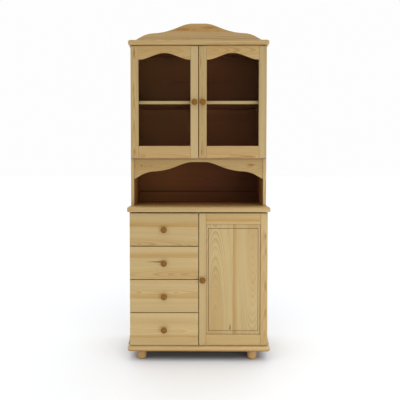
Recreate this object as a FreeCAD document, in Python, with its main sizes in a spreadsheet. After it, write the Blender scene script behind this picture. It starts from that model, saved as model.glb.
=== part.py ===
"""Pantry cabinet of lacquered pine: four drawers and a door below, an open niche, two glazed doors above.

The frame: +Z up, X to the right, the front faces -Y. The origin lies on the floor, under the middle of
the cabinet's own box. All sizes are in millimetres.
"""
import FreeCAD, Part
import os

import Sketcher

doc = FreeCAD.newDocument("pantry_cabinet")

NEAR = 1e-6     # two places closer than this are the same place

# Driving dimensions: each one can be changed by itself.
SIZES = {
    # the whole cabinet
    "overall_width": 802,           # worktop, base board and cornice share it
    "overall_height": 1914,         # floor to the top of the crest
    "board_side_overhang": 11,      # those three boards stand past the sides
    "side_thickness": 18,
    "back_thickness": 6,
    "back_rebate": 9,               # how far the back panels enter the sides
    "glue_gap": 0.1,                # round a dowel, tenon or bush, filled with glue
    "fit_gap": 0.5,                 # beside a loose shelf, panel or pane
    "cut_over": 1,                  # how far a cutter passes the face that it cuts
    "edge_round": 3,                # eased front edges of the fronts and doors
    "plan_corner": 20,              # rounded front corners of the three moulded boards
    "board_ovolo": 11,              # their large moulding
    "board_small_round": 5,         # their small moulding
    # feet and base board
    "foot_height": 60,
    "foot_radius": 27,
    "foot_round": 13,               # rounding of its lower and upper edges
    "foot_collar": 4,
    "foot_tenon_radius": 9,
    "foot_tenon_length": 16,
    "foot_inset_left": 76,          # foot axis from the end of the base board
    "foot_inset_right": 96,
    "foot_inset_front": 52,
    "foot_inset_back": 52,
    "base_board_thickness": 25,
    # lower unit
    "lower_side_height": 758,
    "lower_side_depth": 324,
    "lower_front_thickness": 19,
    "board_front_overhang": 17,     # worktop and base board past the lower fronts
    "front_gap": 2,                 # between a carcass edge and the back of a front
    "front_side_inset": 3,          # fronts stop short of the carcass sides
    "front_bottom_gap": 2,
    "front_top_gap": 7,
    "centre_gap": 4,
    "drawer_gap": 4,
    "divider_thickness": 18,
    "worktop_thickness": 28,
    "skirt_height": 49,
    "skirt_foot": 9,                # the cove moulding's thickness at its foot
    "skirt_lip": 2,                 # and at its top
    "skirt_step": 5,                # its square foot
    "skirt_belly_depth": 0.22,      # the hollow's middle, as a share of its depth
    "skirt_belly_height": 0.42,     # and of its height
    # drawers
    "drawer_count": 4,
    "drawer_box_height": 138,
    "drawer_box_lift": 16,          # box above the bottom edge of its front
    "drawer_wall": 15,
    "drawer_back_wall": 12,
    "drawer_side_gap": 2,
    "drawer_back_gap": 12,
    "drawer_bottom_thickness": 5,
    "drawer_bottom_lift": 8,
    "drawer_bottom_groove": 6,
    "runner_height": 14,
    "runner_bite": 6,               # how far the runner enters the drawer side
    "runner_play": 0.3,             # above and below the runner
    "runner_end_play": 1,           # beyond its edge, in the groove
    "runner_front_inset": 20,
    # lower door
    "lower_stile": 40,
    "lower_top_rail": 62,
    "lower_bottom_rail": 62,
    "panel_groove": 8,
    "panel_tongue_thickness": 6,
    "panel_tongue_back": 5,         # from the door's back to the tongue
    "panel_raise": 6.5,             # field above the tongue
    "panel_bevel_side": 14,
    "panel_bevel_end": 24,
    "panel_bevel_step": 1.5,        # the small square step round the field
    # upper unit
    "upper_side_depth": 268,
    "upper_door_thickness": 18,
    "cornice_front_overhang": 15,
    "cornice_thickness": 26,
    "crest_rise": 103,              # crest above the cornice
    "wave_drop": 99,                # from the middle of the waved edge down to its ends
    "wave_board_thickness": 18,
    "wave_board_setback": 4.5,      # crest and apron behind the front edges of the sides
    "niche_height": 270,            # worktop to the underside of the upper floor
    "apron_middle": 19,             # height of the apron in the middle
    "back_rail_height": 68,
    "upper_floor_thickness": 18,
    "upper_door_lift": 2,           # door's lower edge above the floor's underside
    "upper_door_top_gap": 4,
    "upper_stile": 44,
    "upper_bottom_rail": 71,
    "upper_top_rail": 77.5,         # at the ends of the arch
    "arch_rise": 39,
    "glass_thickness": 4,
    "glass_rebate": 8,              # how far the frame laps over the pane
    "glass_back": 9,                # from the door's back to the pane's seat
    "bead_depth": 4.5,
    # shelves and their pins
    "shelf_thickness": 18,
    "upper_shelf_offset": -5,       # from the middle of the glazed cupboard, upwards
    "upper_shelf_setback": 25,
    "lower_shelf_height": 370,      # its underside above the base board
    "lower_shelf_setback": 30,
    "shelf_pin_radius": 3,
    "shelf_pin_bite": 10,
    "shelf_pin_reach": 9,
    "shelf_pin_inset": 40,          # from the shelf's front and back edges
    # knobs
    "knob_radius": 17.5,
    "knob_projection": 28,
    "knob_foot_radius": 10.5,
    "knob_foot_edge": 1.5,          # its straight edge
    "knob_neck_swell": 0.8,         # neck halfway down, over its narrowest
    "knob_head_swell": 2,           # hollow under the head, outwards and back
    "knob_neck_radius": 7.5,
    "knob_neck_height": 8,
    "knob_head_back": 13,
    "knob_dome": 7.5,               # height of the rounded face of the head
    "knob_rim": 1.5,
    "knob_tenon_radius": 5,
    "knob_tenon_length": 12,
    # door pivots and dowels
    "pivot_edge": 5.5,              # pivot axis from the door's outer edge
    "pivot_radius": 2.5,
    "pivot_play": 0.05,
    "pivot_bite": 14,               # pin length inside the board
    "pivot_reach": 10,              # pin length inside the bush
    "bush_radius": 4,
    "bush_length": 12,
    "bracket_width": 13,
    "bracket_thickness": 3,
    "bracket_bite": 24,
    "bracket_gap": 1,
    "dowel_radius": 4,
    "dowel_bite": 25,               # length in the upright board
    "dowel_cross": 15,              # length in the level board
    "dowel_inset": 55,              # from the upright board's front and back edges
}

# Places that follow from them.
PLACES = {
    "half_width": "size.overall_width / 2",
    "side_outer": "half_width - size.board_side_overhang",
    "side_inner": "side_outer - size.side_thickness",
    "front_outer": "side_outer - size.front_side_inset",
    "front_inner": "size.centre_gap / 2",
    "front_width": "front_outer - front_inner",
    "divider_half": "size.divider_thickness / 2",
    "lower_depth": "size.lower_side_depth + size.front_gap + size.lower_front_thickness",
    "rear": "(lower_depth + size.knob_projection) / 2",
    "back_face": "rear - size.back_thickness",
    "lower_side_front": "rear - size.lower_side_depth",
    "lower_front_back": "lower_side_front - size.front_gap",
    "lower_face": "lower_front_back - size.lower_front_thickness",
    "board_front": "lower_face - size.board_front_overhang",
    "board_depth": "rear - board_front",
    "upper_side_front": "rear - size.upper_side_depth",
    "upper_door_back": "upper_side_front - size.front_gap",
    "upper_face": "upper_door_back - size.upper_door_thickness",
    "cornice_front": "upper_face - size.cornice_front_overhang",
    "cornice_depth": "rear - cornice_front",
    "wave_front": "upper_side_front + size.wave_board_setback",
    "base_top": "size.foot_height + size.base_board_thickness",
    "worktop_bottom": "base_top + size.lower_side_height",
    "worktop_top": "worktop_bottom + size.worktop_thickness",
    "fronts_bottom": "base_top + size.front_bottom_gap",
    "fronts_top": "worktop_bottom - size.front_top_gap",
    "fronts_height": "fronts_top - fronts_bottom",
    "drawer_pitch": "(fronts_height + size.drawer_gap) / size.drawer_count",
    "drawer_height": "drawer_pitch - size.drawer_gap",
    "cornice_top": "size.overall_height - size.crest_rise",
    "cornice_bottom": "cornice_top - size.cornice_thickness",
    "floor_bottom": "worktop_top + size.niche_height",
    "floor_top": "floor_bottom + size.upper_floor_thickness",
    "upper_door_bottom": "floor_bottom + size.upper_door_lift",
    "upper_door_top": "cornice_bottom - size.upper_door_top_gap",
    "upper_door_height": "upper_door_top - upper_door_bottom",
    "upper_shelf_middle": "(floor_top + cornice_bottom) / 2 + size.upper_shelf_offset",
    "upper_shelf_bottom": "upper_shelf_middle - size.shelf_thickness / 2",
    "lower_shelf_bottom": "base_top + size.lower_shelf_height",
    "drawer_outer": "side_inner - size.drawer_side_gap",
    "drawer_inner": "divider_half + size.drawer_side_gap",
    "drawer_length": "back_face - size.drawer_back_gap - lower_front_back",
    "runner_width": "size.drawer_side_gap + size.runner_bite",
    "runner_length": "size.lower_side_depth - size.back_thickness - size.runner_front_inset",
    "pivot_x": "front_outer - size.pivot_edge",
    "lower_pivot_y": "lower_face + size.lower_front_thickness / 2",
    "upper_pivot_y": "upper_face + size.upper_door_thickness / 2",
    "bracket_top": "upper_door_bottom - size.bracket_gap",
    "dome_edge": "size.knob_radius - size.knob_rim",
    "dome_radius": "(pow(dome_edge; 2) + pow(size.knob_dome; 2)) / (2 * size.knob_dome)",
    "dome_middle": "dome_edge / 2",
}

size = doc.addObject("Spreadsheet::Sheet", "size")
for row, (name, number) in enumerate(SIZES.items(), start=1):
    size.set(f"A{row}", name)
    size.set(f"B{row}", str(number))
    size.setAlias(f"B{row}", name)
doc.recompute()
place = doc.addObject("Spreadsheet::Sheet", "place")
for row, (name, formula) in enumerate(PLACES.items(), start=1):
    place.set(f"A{row}", name)
    place.set(f"B{row}", "=" + formula)
    place.setAlias(f"B{row}", name)
    doc.recompute()

NODES = []      # the sub-parts, in the order they are made


def value(text):
    """The number that an expression has now."""
    return float(size.evalExpression(text))


def bind(item, **expressions):
    """Bind properties to expressions; x, y and z stand for the item's place."""
    for name, text in expressions.items():
        path = f"Placement.Base.{name}" if name in "xyz" else name
        item.setExpression(path, text)
    return item


def node(item, label):
    """Name a finished sub-part."""
    item.Label = label
    NODES.append(item)
    return item


def box(x, y, z, length, width, height):
    """A plain block: its low corner, then its size along X, Y and Z."""
    item = doc.addObject("Part::Box", "block")
    return bind(item, x=x, y=y, z=z, Length=length, Width=width, Height=height)


def rod(x, y, z, radius, length, direction=(0, 0, 1)):
    """A round rod from a point, along a direction."""
    item = doc.addObject("Part::Cylinder", "rod")
    item.Placement.Rotation = FreeCAD.Rotation(FreeCAD.Vector(0, 0, 1), FreeCAD.Vector(*direction))
    return bind(item, x=x, y=y, z=z, Radius=radius, Height=length)


def fuse(pieces):
    """One solid of pieces that meet."""
    item = doc.addObject("Part::MultiFuse", "fuse")
    item.Shapes = pieces
    return item


def group(pieces):
    """Separate solids that are one sub-part."""
    item = doc.addObject("Part::Compound", "group")
    item.Links = pieces
    return item


def cut(item, tools):
    """An item with pieces cut out of it."""
    result = doc.addObject("Part::Cut", "cut")
    result.Base = item
    result.Tool = tools[0] if len(tools) == 1 else group(tools)
    return result


def sketch_on(body, plane, outline):
    """A closed outline on one of a body's planes, every corner bound to expressions.

    A corner is a pair of expressions; a third and fourth make the run from it to the next corner an
    arc through that point.
    """
    sketch = body.newObject("Sketcher::SketchObject", "outline")
    role = next(f for f in body.Origin.OriginFeatures if f.Role == plane)
    sketch.AttachmentSupport = [(role, "")]
    sketch.MapMode = "FlatFace"
    origin, start, end = (-1, 1), 1, 2

    def pin(geometry, point, across, up):
        for kind, text in (("DistanceX", across), ("DistanceY", up)):
            index = sketch.addConstraint(Sketcher.Constraint(kind, *origin, geometry, point, value(text)))
            sketch.setExpression(f"Constraints[{index}]", text)

    points = [FreeCAD.Vector(value(c[0]), value(c[1]), 0) for c in outline]
    for index, corner in enumerate(outline):
        here, there = points[index], points[(index + 1) % len(points)]
        if len(corner) == 2:
            run = sketch.addGeometry(Part.LineSegment(here, there), False)
            first, last = start, end
        else:
            middle = FreeCAD.Vector(value(corner[2]), value(corner[3]), 0)
            through = Part.Circle(here, middle, there)
            circle = Part.Circle(through.Center, FreeCAD.Vector(0, 0, 1), through.Radius)
            leftwards = (middle - here).cross(there - middle).z > 0
            ends = (here, there) if leftwards else (there, here)
            run = sketch.addGeometry(Part.ArcOfCircle(circle, *map(circle.parameter, ends)), False)
            first, last = (start, end) if leftwards else (end, start)
            mark = sketch.addGeometry(Part.Point(middle), True)
            pin(mark, start, corner[2], corner[3])
            sketch.addConstraint(Sketcher.Constraint("PointOnObject", mark, start, run))
        pin(run, first, corner[0], corner[1])
        if index:
            sketch.addConstraint(Sketcher.Constraint("Coincident", before[0], before[1], run, first))
        else:
            opening = (run, first)
        before = (run, last)
    sketch.addConstraint(Sketcher.Constraint("Coincident", before[0], before[1], *opening))
    doc.recompute()
    return sketch


def body_at(x, y, z):
    """An empty body at a place."""
    return bind(doc.addObject("PartDesign::Body", "body"), x=x, y=y, z=z)


def pad(body, plane, outline, length):
    """Give a body thickness from an outline."""
    feature = body.newObject("PartDesign::Pad", "pad")
    feature.Profile = sketch_on(body, plane, outline)
    feature.setExpression("Length", length)
    doc.recompute()
    return feature


def turned(body, outline):
    """Turn an outline on the XZ plane about the body's Z axis."""
    feature = body.newObject("PartDesign::Revolution", "turning")
    sketch = sketch_on(body, "XZ_Plane", outline)
    feature.Profile = sketch
    feature.ReferenceAxis = (sketch, ["V_Axis"])
    feature.Angle = 360
    doc.recompute()
    return feature


def soften(body, radius, chosen):
    """Round the edges of the body's last feature whose middle point is chosen."""
    last = body.Tip
    edges = [f"Edge{index}" for index, edge in enumerate(last.Shape.Edges, start=1)
             if chosen(edge.valueAt((edge.FirstParameter + edge.LastParameter) / 2), edge)]
    feature = body.newObject("PartDesign::Fillet", "soften")
    feature.Base = (last, edges)
    feature.setExpression("Radius", radius)
    doc.recompute()
    return feature


def rectangle(length, width):
    """An outline with one corner at the origin."""
    return [("0", "0"), (length, "0"), (length, width), ("0", width)]


def eased_board(x, y, z, length, width, height, radius="size.edge_round"):
    """A board whose four edges round its front face are eased."""
    body = body_at(x, y, z)
    pad(body, "XY_Plane", rectangle(length, width), height)
    soften(body, radius, lambda middle, edge: abs(middle.y) < NEAR)
    return body


def moulded_board(z, depth, thickness, ovolo_up):
    """A full-width board: rounded front corners, an ovolo on one side and a small round on the other."""
    body = body_at("-place.half_width", f"place.rear - {depth}", z)
    pad(body, "XY_Plane", rectangle("size.overall_width", depth), thickness)
    width, back, high = value("size.overall_width"), value(depth), value(thickness)
    soften(body, "size.plan_corner", lambda middle, edge: abs(middle.y) < NEAR
           and abs(middle.z - high / 2) < NEAR and min(middle.x, width - middle.x) < NEAR)
    for level, radius in ((high, "size.board_ovolo"), (0, "size.board_small_round")):
        if not ovolo_up:
            level = high - level
        soften(body, radius, lambda middle, edge: abs(middle.z - level) < NEAR and middle.y < back - NEAR
               and edge.BoundBox.ZLength < NEAR)
    return body


# %% Waved outlines: the crest, the apron and the arch of the glazed doors

# Knots of half a wave, from its middle to its end: share of the half-length, share of the drop, slope.
CREST_WAVE = ((0, 0, 0), (0.1, 0, 0), (0.345, 0.258, 1.52), (0.675, 0.543, 0.2),
              (0.875, 0.73, 2.04), (1, 1, 2.26))
ARCH_WAVE = ((0, 0, 0), (1, 1, 0))


def wave_edges(knots, half_length, drop, top):
    """The edges of a whole wave in the XZ plane, from its left end to its right end."""
    def run(first, second, side):
        step = (second[0] - first[0]) / 3
        poles = (first[:2], (first[0] + step, first[1] + step * first[2]),
                 (second[0] - step, second[1] - step * second[2]), second[:2])
        vectors = [FreeCAD.Vector(side * half_length * u, 0, top - drop * v) for u, v in poles]
        curve = Part.BezierCurve()
        curve.setPoles(vectors if side > 0 else vectors[::-1])
        return curve.toShape()

    pairs = list(zip(knots[:-1], knots[1:]))
    return [run(*pair, -1) for pair in reversed(pairs)] + [run(*pair, 1) for pair in pairs]


def waved_board(edges, half_length, closing_level, thickness):
    """A board between a waved edge and a straight level edge, its front face at Y = 0."""
    left, right = edges[0].firstVertex(True).Point, edges[-1].lastVertex(True).Point
    corners = [right, FreeCAD.Vector(half_length, 0, closing_level),
               FreeCAD.Vector(-half_length, 0, closing_level), left]
    straight = [Part.makeLine(a, b) for a, b in zip(corners[:-1], corners[1:])]
    face = Part.Face(Part.Wire(edges + straight))
    return face.extrude(FreeCAD.Vector(0, thickness, 0))


def shaped(shape, x, y, z):
    """A feature with a ready shape, at a place."""
    item = doc.addObject("Part::Feature", "shaped")
    item.Shape = shape
    return bind(item, x=x, y=y, z=z)


# %% Dowels and the holes for them

def dowel_spots(side_x, front, depth):
    """The two places of an upright board's dowels."""
    return [(side_x, f"{front} + size.dowel_inset"), (side_x, f"{front} + {depth} - size.dowel_inset")]


SIDE_MIDDLE = "(place.side_outer - size.side_thickness / 2)"
LOWER_UPRIGHTS = (f"-{SIDE_MIDDLE}", "0", SIDE_MIDDLE)
UPPER_UPRIGHTS = (LOWER_UPRIGHTS[0], LOWER_UPRIGHTS[2])
DOWEL_ROWS = (      # level, whether the upright stands above it, the uprights, front edge, depth
    ("place.base_top", True, LOWER_UPRIGHTS, "place.lower_side_front", "size.lower_side_depth"),
    ("place.worktop_bottom", False, LOWER_UPRIGHTS, "place.lower_side_front", "size.lower_side_depth"),
    ("place.cornice_bottom", False, UPPER_UPRIGHTS, "place.upper_side_front", "size.upper_side_depth"),
)


def dowels(level, gap="0", only_x=None):
    """Rods for the dowels of one level, or the holes for them when a gap is given."""
    rods = []
    for row_level, above, uprights, front, depth in DOWEL_ROWS:
        if row_level != level:
            continue
        below = "size.dowel_cross" if above else "size.dowel_bite"
        for upright in uprights:
            if only_x in (None, upright):
                for x, y in dowel_spots(upright, front, depth):
                    rods.append(rod(x, y, f"{level} - {below} - {gap}", f"size.dowel_radius + {gap}",
                                    f"size.dowel_bite + size.dowel_cross + 2 * {gap}"))
    return rods


GLUE = "size.glue_gap"
node(group([r for row in DOWEL_ROWS for r in dowels(row[0])]), "carcass_dowels")

# %% Turned feet and knobs


def foot(x, y):
    """A turned bun foot with a tenon on top."""
    body = body_at(x, y, "0")
    neck, shoulder = "size.foot_radius - size.foot_round", "size.foot_height - size.foot_collar"
    bulge, rise = f"{neck} + size.foot_round * cos(45)", "size.foot_round * (1 - cos(45))"
    turned(body, [
        ("0", "0"), (neck, "0", bulge, rise),
        ("size.foot_radius", "size.foot_round"),
        ("size.foot_radius", f"{shoulder} - size.foot_round", bulge, f"{shoulder} - {rise}"),
        (neck, shoulder), (neck, "size.foot_height"),
        ("size.foot_tenon_radius", "size.foot_height"),
        ("size.foot_tenon_radius", "size.foot_height + size.foot_tenon_length"),
        ("0", "size.foot_height + size.foot_tenon_length")])
    return body


FEET_X = ("-place.half_width + size.foot_inset_left", "place.half_width - size.foot_inset_right")
FEET_Y = {"front": "place.board_front + size.foot_inset_front", "back": "place.rear - size.foot_inset_back"}
for row_name, foot_y in FEET_Y.items():
    node(group([foot(foot_x, foot_y) for foot_x in FEET_X]), f"feet_{row_name}")


def knob(label, x, y, z):
    """A turned mushroom knob that looks towards -Y, with a tenon behind its foot at the face y."""
    body = body_at(x, y, z)
    body.Placement.Rotation = FreeCAD.Rotation(FreeCAD.Vector(1, 0, 0), 90)
    dome_centre = "size.knob_projection - place.dome_radius"
    dome_level = f"{dome_centre} + sqrt(pow(place.dome_radius; 2) - pow(place.dome_middle; 2))"
    turned(body, [
        ("0", "-size.knob_tenon_length"), ("size.knob_tenon_radius", "-size.knob_tenon_length"),
        ("size.knob_tenon_radius", "0"), ("size.knob_foot_radius", "0"),
        ("size.knob_foot_radius", "size.knob_foot_edge",
         "size.knob_neck_radius + size.knob_neck_swell", "size.knob_neck_height / 2"),
        ("size.knob_neck_radius", "size.knob_neck_height",
         "size.knob_neck_radius + size.knob_head_swell", "size.knob_head_back - size.knob_head_swell"),
        ("place.dome_edge", "size.knob_head_back", "size.knob_radius",
         "(size.knob_head_back + size.knob_projection - size.knob_dome) / 2"),
        ("place.dome_edge", "size.knob_projection - size.knob_dome", "place.dome_middle", dome_level),
        ("0", "size.knob_projection")])
    return node(body, label)


def knob_hole(x, y, z):
    """The hole for a knob's tenon, from the face y inwards."""
    return rod(x, f"{y} - size.cut_over", z, "size.knob_tenon_radius + size.glue_gap",
               "size.knob_tenon_length + size.glue_gap + size.cut_over", (0, 1, 0))


# %% Base board, worktop and cornice

base = moulded_board("size.foot_height", "place.board_depth", "size.base_board_thickness", True)
foot_holes = [rod(x, y, "size.foot_height - size.cut_over", "size.foot_tenon_radius + size.glue_gap",
                  "size.foot_tenon_length + size.glue_gap + size.cut_over")
              for y in FEET_Y.values() for x in FEET_X]


def pivot_hole(x, y, z):
    """The hole for a pivot pin in a level board."""
    return rod(x, y, z, "size.pivot_radius + size.glue_gap",
               "size.pivot_bite + size.glue_gap + size.cut_over")


base_pivot = pivot_hole("place.pivot_x", "place.lower_pivot_y",
                        "place.base_top - size.pivot_bite - size.glue_gap")
node(cut(base, foot_holes + dowels("place.base_top", GLUE) + [base_pivot]), "base_board")

worktop = moulded_board("place.worktop_bottom", "place.board_depth", "size.worktop_thickness", True)
top_pivot = pivot_hole("place.pivot_x", "place.lower_pivot_y", "place.worktop_bottom - size.cut_over")
node(cut(worktop, dowels("place.worktop_bottom", GLUE) + [top_pivot]), "worktop")

cornice = moulded_board("place.cornice_bottom", "place.cornice_depth", "size.cornice_thickness", False)
cornice_pivots = [pivot_hole(x, "place.upper_pivot_y", "place.cornice_bottom - size.cut_over")
                  for x in ("-place.pivot_x", "place.pivot_x")]
node(cut(cornice, dowels("place.cornice_bottom", GLUE) + cornice_pivots), "cornice")

# %% Lower unit: sides, skirts, divider, back, shelf

SIDES = {"left": -1, "right": 1}


def low_x(sign, near, far):
    """The lower X of a piece that spans two distances from the middle, on one side."""
    return f"-({far})" if sign < 0 else near


def shelf_pins(x, sign, shelf_bottom, front, depth, gap="0"):
    """Two round pins that leave an upright's face at x, towards the middle when sign is positive."""
    start = f"{x} + {sign} * (size.shelf_pin_bite + {gap})"
    pins = []
    for y in (f"{front} + size.shelf_pin_inset", f"{front} + {depth} - size.shelf_pin_inset"):
        pins.append(rod(start, y, f"{shelf_bottom} - size.shelf_pin_radius",
                        f"size.shelf_pin_radius + {gap}",
                        f"size.shelf_pin_bite + {gap} + size.shelf_pin_reach", (-sign, 0, 0)))
    return pins


LOWER_SHELF = ("place.lower_shelf_bottom", "place.lower_side_front + size.lower_shelf_setback",
               "place.back_face - place.lower_side_front - size.lower_shelf_setback")
SLAB_X = ("place.side_inner", "place.side_outer")
REBATE_X = ("place.side_inner - size.cut_over", "place.side_inner + size.back_rebate")
REBATE_WIDTH, REBATE_DEPTH = "size.back_rebate + size.cut_over", "size.back_thickness + size.cut_over"
UPPER_SHELF = ("place.upper_shelf_bottom", "place.upper_side_front + size.upper_shelf_setback",
               "place.back_face - place.upper_side_front - size.upper_shelf_setback")

for side, sign in SIDES.items():
    slab = box(low_x(sign, *SLAB_X), "place.lower_side_front", "place.base_top",
               "size.side_thickness", "size.lower_side_depth", "size.lower_side_height")
    rebate = box(low_x(sign, *REBATE_X), "place.back_face", "place.base_top - size.cut_over",
                 REBATE_WIDTH, REBATE_DEPTH, "size.lower_side_height + 2 * size.cut_over")
    upright = LOWER_UPRIGHTS[0] if sign < 0 else LOWER_UPRIGHTS[2]
    holes = dowels("place.base_top", GLUE, upright) + dowels("place.worktop_bottom", GLUE, upright)
    if side == "right":
        holes += shelf_pins("place.side_inner", 1, *LOWER_SHELF, GLUE)
    node(cut(slab, [rebate] + holes), f"lower_side_{side}")

divider = box("-place.divider_half", "place.lower_side_front", "place.base_top", "size.divider_thickness",
              "size.lower_side_depth - size.back_thickness", "size.lower_side_height")
divider_holes = dowels("place.base_top", GLUE, "0") + dowels("place.worktop_bottom", GLUE, "0")
divider_holes += shelf_pins("place.divider_half", -1, *LOWER_SHELF, GLUE)
node(cut(divider, divider_holes), "lower_divider")

BACK_HALF = "(place.side_inner + size.back_rebate - size.fit_gap)"
node(box(f"-{BACK_HALF}", "place.back_face", "place.base_top", f"2 * {BACK_HALF}", "size.back_thickness",
         "size.lower_side_height"), "lower_back_panel")
node(box("place.divider_half + size.fit_gap", LOWER_SHELF[1], LOWER_SHELF[0],
         "place.side_inner - place.divider_half - 2 * size.fit_gap", LOWER_SHELF[2], "size.shelf_thickness"),
     "lower_shelf")

for side, sign in SIDES.items():
    skirt = body_at(f"{sign} * place.side_outer", "place.rear", "place.base_top")
    foot_x, lip_x = f"{sign} * size.skirt_foot", f"{sign} * size.skirt_lip"
    belly_x = f"{sign} * (size.skirt_lip + (size.skirt_foot - size.skirt_lip) * size.skirt_belly_depth)"
    belly_z = "size.skirt_step + (size.skirt_height - size.skirt_step) * size.skirt_belly_height"
    pad(skirt, "XZ_Plane", [
        ("0", "0"), (foot_x, "0"),
        (foot_x, "size.skirt_step", belly_x, belly_z),
        (lip_x, "size.skirt_height"), ("0", "size.skirt_height")], "size.lower_side_depth")
    node(skirt, f"side_skirt_{side}")

# %% Upper unit: sides, floor, backs, crest, apron, shelf

for side, sign in SIDES.items():
    slab = box(low_x(sign, *SLAB_X), "place.upper_side_front", "place.worktop_top",
               "size.side_thickness", "size.upper_side_depth", "place.cornice_bottom - place.worktop_top")
    rebate = box(low_x(sign, *REBATE_X), "place.back_face", "place.worktop_top - size.cut_over",
                 REBATE_WIDTH, REBATE_DEPTH,
                 "place.cornice_bottom - place.worktop_top + 2 * size.cut_over")
    mortise = box(f"{sign} * place.pivot_x - size.bracket_width / 2 - size.glue_gap",
                  "place.upper_side_front - size.cut_over",
                  "place.bracket_top - size.bracket_thickness - size.glue_gap",
                  "size.bracket_width + 2 * size.glue_gap",
                  "size.bracket_bite + size.glue_gap + size.cut_over",
                  "size.bracket_thickness + 2 * size.glue_gap")
    upright = UPPER_UPRIGHTS[0] if sign < 0 else UPPER_UPRIGHTS[1]
    holes = dowels("place.cornice_bottom", GLUE, upright)
    holes += shelf_pins(f"{sign} * place.side_inner", sign, *UPPER_SHELF, GLUE)
    node(cut(slab, [rebate, mortise] + holes), f"upper_side_{side}")

node(box("-place.side_inner", "place.upper_side_front", "place.floor_bottom", "2 * place.side_inner",
         "size.upper_side_depth - size.back_thickness", "size.upper_floor_thickness"), "upper_floor")
node(box(f"-{BACK_HALF}", "place.back_face", "place.worktop_top", f"2 * {BACK_HALF}", "size.back_thickness",
         "size.back_rail_height"), "upper_back_rail")
node(box(f"-{BACK_HALF}", "place.back_face", "place.worktop_top + size.back_rail_height", f"2 * {BACK_HALF}",
         "size.back_thickness", "place.cornice_bottom - place.worktop_top - size.back_rail_height"),
     "upper_back_panel")
node(box("-place.side_inner + size.fit_gap", UPPER_SHELF[1], UPPER_SHELF[0],
         "2 * (place.side_inner - size.fit_gap)", UPPER_SHELF[2], "size.shelf_thickness"), "upper_shelf")

half_wave = value("place.side_inner")
wave_thickness = value("size.wave_board_thickness")
crest_edges = wave_edges(CREST_WAVE, half_wave, value("size.wave_drop"), value("size.crest_rise"))
crest = waved_board(crest_edges, half_wave, 0, wave_thickness)
node(shaped(crest, "0", "place.wave_front", "place.cornice_top"), "crest")
apron_edges = wave_edges(CREST_WAVE, half_wave, value("size.wave_drop"), -value("size.apron_middle"))
apron = waved_board(apron_edges, half_wave, 0, wave_thickness)
node(shaped(apron, "0", "place.wave_front", "place.floor_bottom"), "apron")

pins = shelf_pins("place.side_inner", 1, *LOWER_SHELF) + shelf_pins("place.divider_half", -1, *LOWER_SHELF)
pins += shelf_pins("-place.side_inner", -1, *UPPER_SHELF) + shelf_pins("place.side_inner", 1, *UPPER_SHELF)
node(group(pins), "shelf_pins")

# %% Drawers and their runners

runners = []
for number in range(1, SIZES["drawer_count"] + 1):
    front_z = f"(place.fronts_top - {number} * place.drawer_pitch + size.drawer_gap)"
    middle_z = f"({front_z} + place.drawer_height / 2)"
    middle_x = "(-(place.front_outer + place.front_inner) / 2)"
    box_z = f"({front_z} + size.drawer_box_lift)"
    runner_z = f"({box_z} + (size.drawer_box_height - size.runner_height) / 2)"
    bottom_z = f"({box_z} + size.drawer_bottom_lift)"
    inside_x = "(-place.drawer_outer + size.drawer_wall)"
    inside_width = "(place.drawer_outer - place.drawer_inner - 2 * size.drawer_wall)"
    bite = "(size.drawer_bottom_groove - size.fit_gap)"

    front = eased_board("-place.front_outer", "place.lower_face", front_z, "place.front_width",
                        "size.lower_front_thickness", "place.drawer_height")
    groove_depth = "size.drawer_bottom_groove + size.cut_over"
    groove_length = "place.drawer_length + 2 * size.cut_over"
    groove_start = "place.lower_front_back - size.cut_over"
    groove = box(f"{inside_x} - size.drawer_bottom_groove",
                 "place.lower_front_back - size.drawer_bottom_groove", bottom_z,
                 f"{inside_width} + 2 * size.drawer_bottom_groove", groove_depth,
                 "size.drawer_bottom_thickness")
    node(cut(front, [groove, knob_hole(middle_x, "place.lower_face", middle_z)]), f"drawer_{number}_front")
    knob(f"drawer_{number}_knob", middle_x, "place.lower_face", middle_z)

    walls = []
    for sign, wall_x in ((-1, "-place.drawer_outer"), (1, "(-place.drawer_inner - size.drawer_wall)")):
        wall = box(wall_x, "place.lower_front_back", box_z, "size.drawer_wall", "place.drawer_length",
                   "size.drawer_box_height")
        near_edge = f"{wall_x} - size.cut_over"
        outside, inside = near_edge, f"{wall_x} + size.drawer_wall - size.drawer_bottom_groove"
        if sign > 0:
            outside = f"{wall_x} + size.drawer_wall - size.runner_bite - size.runner_end_play"
            inside = near_edge
        runner_groove = box(outside, groove_start, f"{runner_z} - size.runner_play",
                            "size.runner_bite + size.runner_end_play + size.cut_over", groove_length,
                            "size.runner_height + 2 * size.runner_play")
        bottom_groove = box(inside, groove_start, bottom_z, groove_depth, groove_length,
                            "size.drawer_bottom_thickness")
        walls.append(cut(wall, [runner_groove, bottom_groove]))
        runner_x = "-place.side_inner" if sign < 0 else "-place.divider_half - place.runner_width"
        runners.append(box(runner_x, "place.lower_side_front + size.runner_front_inset", runner_z,
                           "place.runner_width", "place.runner_length", "size.runner_height"))
    walls.append(box(inside_x, "place.lower_front_back + place.drawer_length - size.drawer_back_wall",
                     f"{bottom_z} + size.drawer_bottom_thickness", inside_width, "size.drawer_back_wall",
                     "size.drawer_box_height - size.drawer_bottom_lift - size.drawer_bottom_thickness"))
    node(group(walls), f"drawer_{number}_walls")
    node(box(f"{inside_x} - {bite}", f"place.lower_front_back - {bite}", bottom_z,
             f"{inside_width} + 2 * {bite}", f"place.drawer_length + {bite}",
             "size.drawer_bottom_thickness"), f"drawer_{number}_bottom")
node(group(runners), "drawer_runners")

# %% Door pivots


def bushes(x, y, low, high):
    """Two brass bushes let into a door's lower and upper edges."""
    rings = []
    for start in (low, f"{high} - size.bush_length"):
        hole = rod(x, y, f"{start} - size.cut_over", "size.pivot_radius + size.pivot_play",
                   "size.bush_length + 2 * size.cut_over")
        rings.append(cut(rod(x, y, start, "size.bush_radius", "size.bush_length"), [hole]))
    return group(rings)


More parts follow.
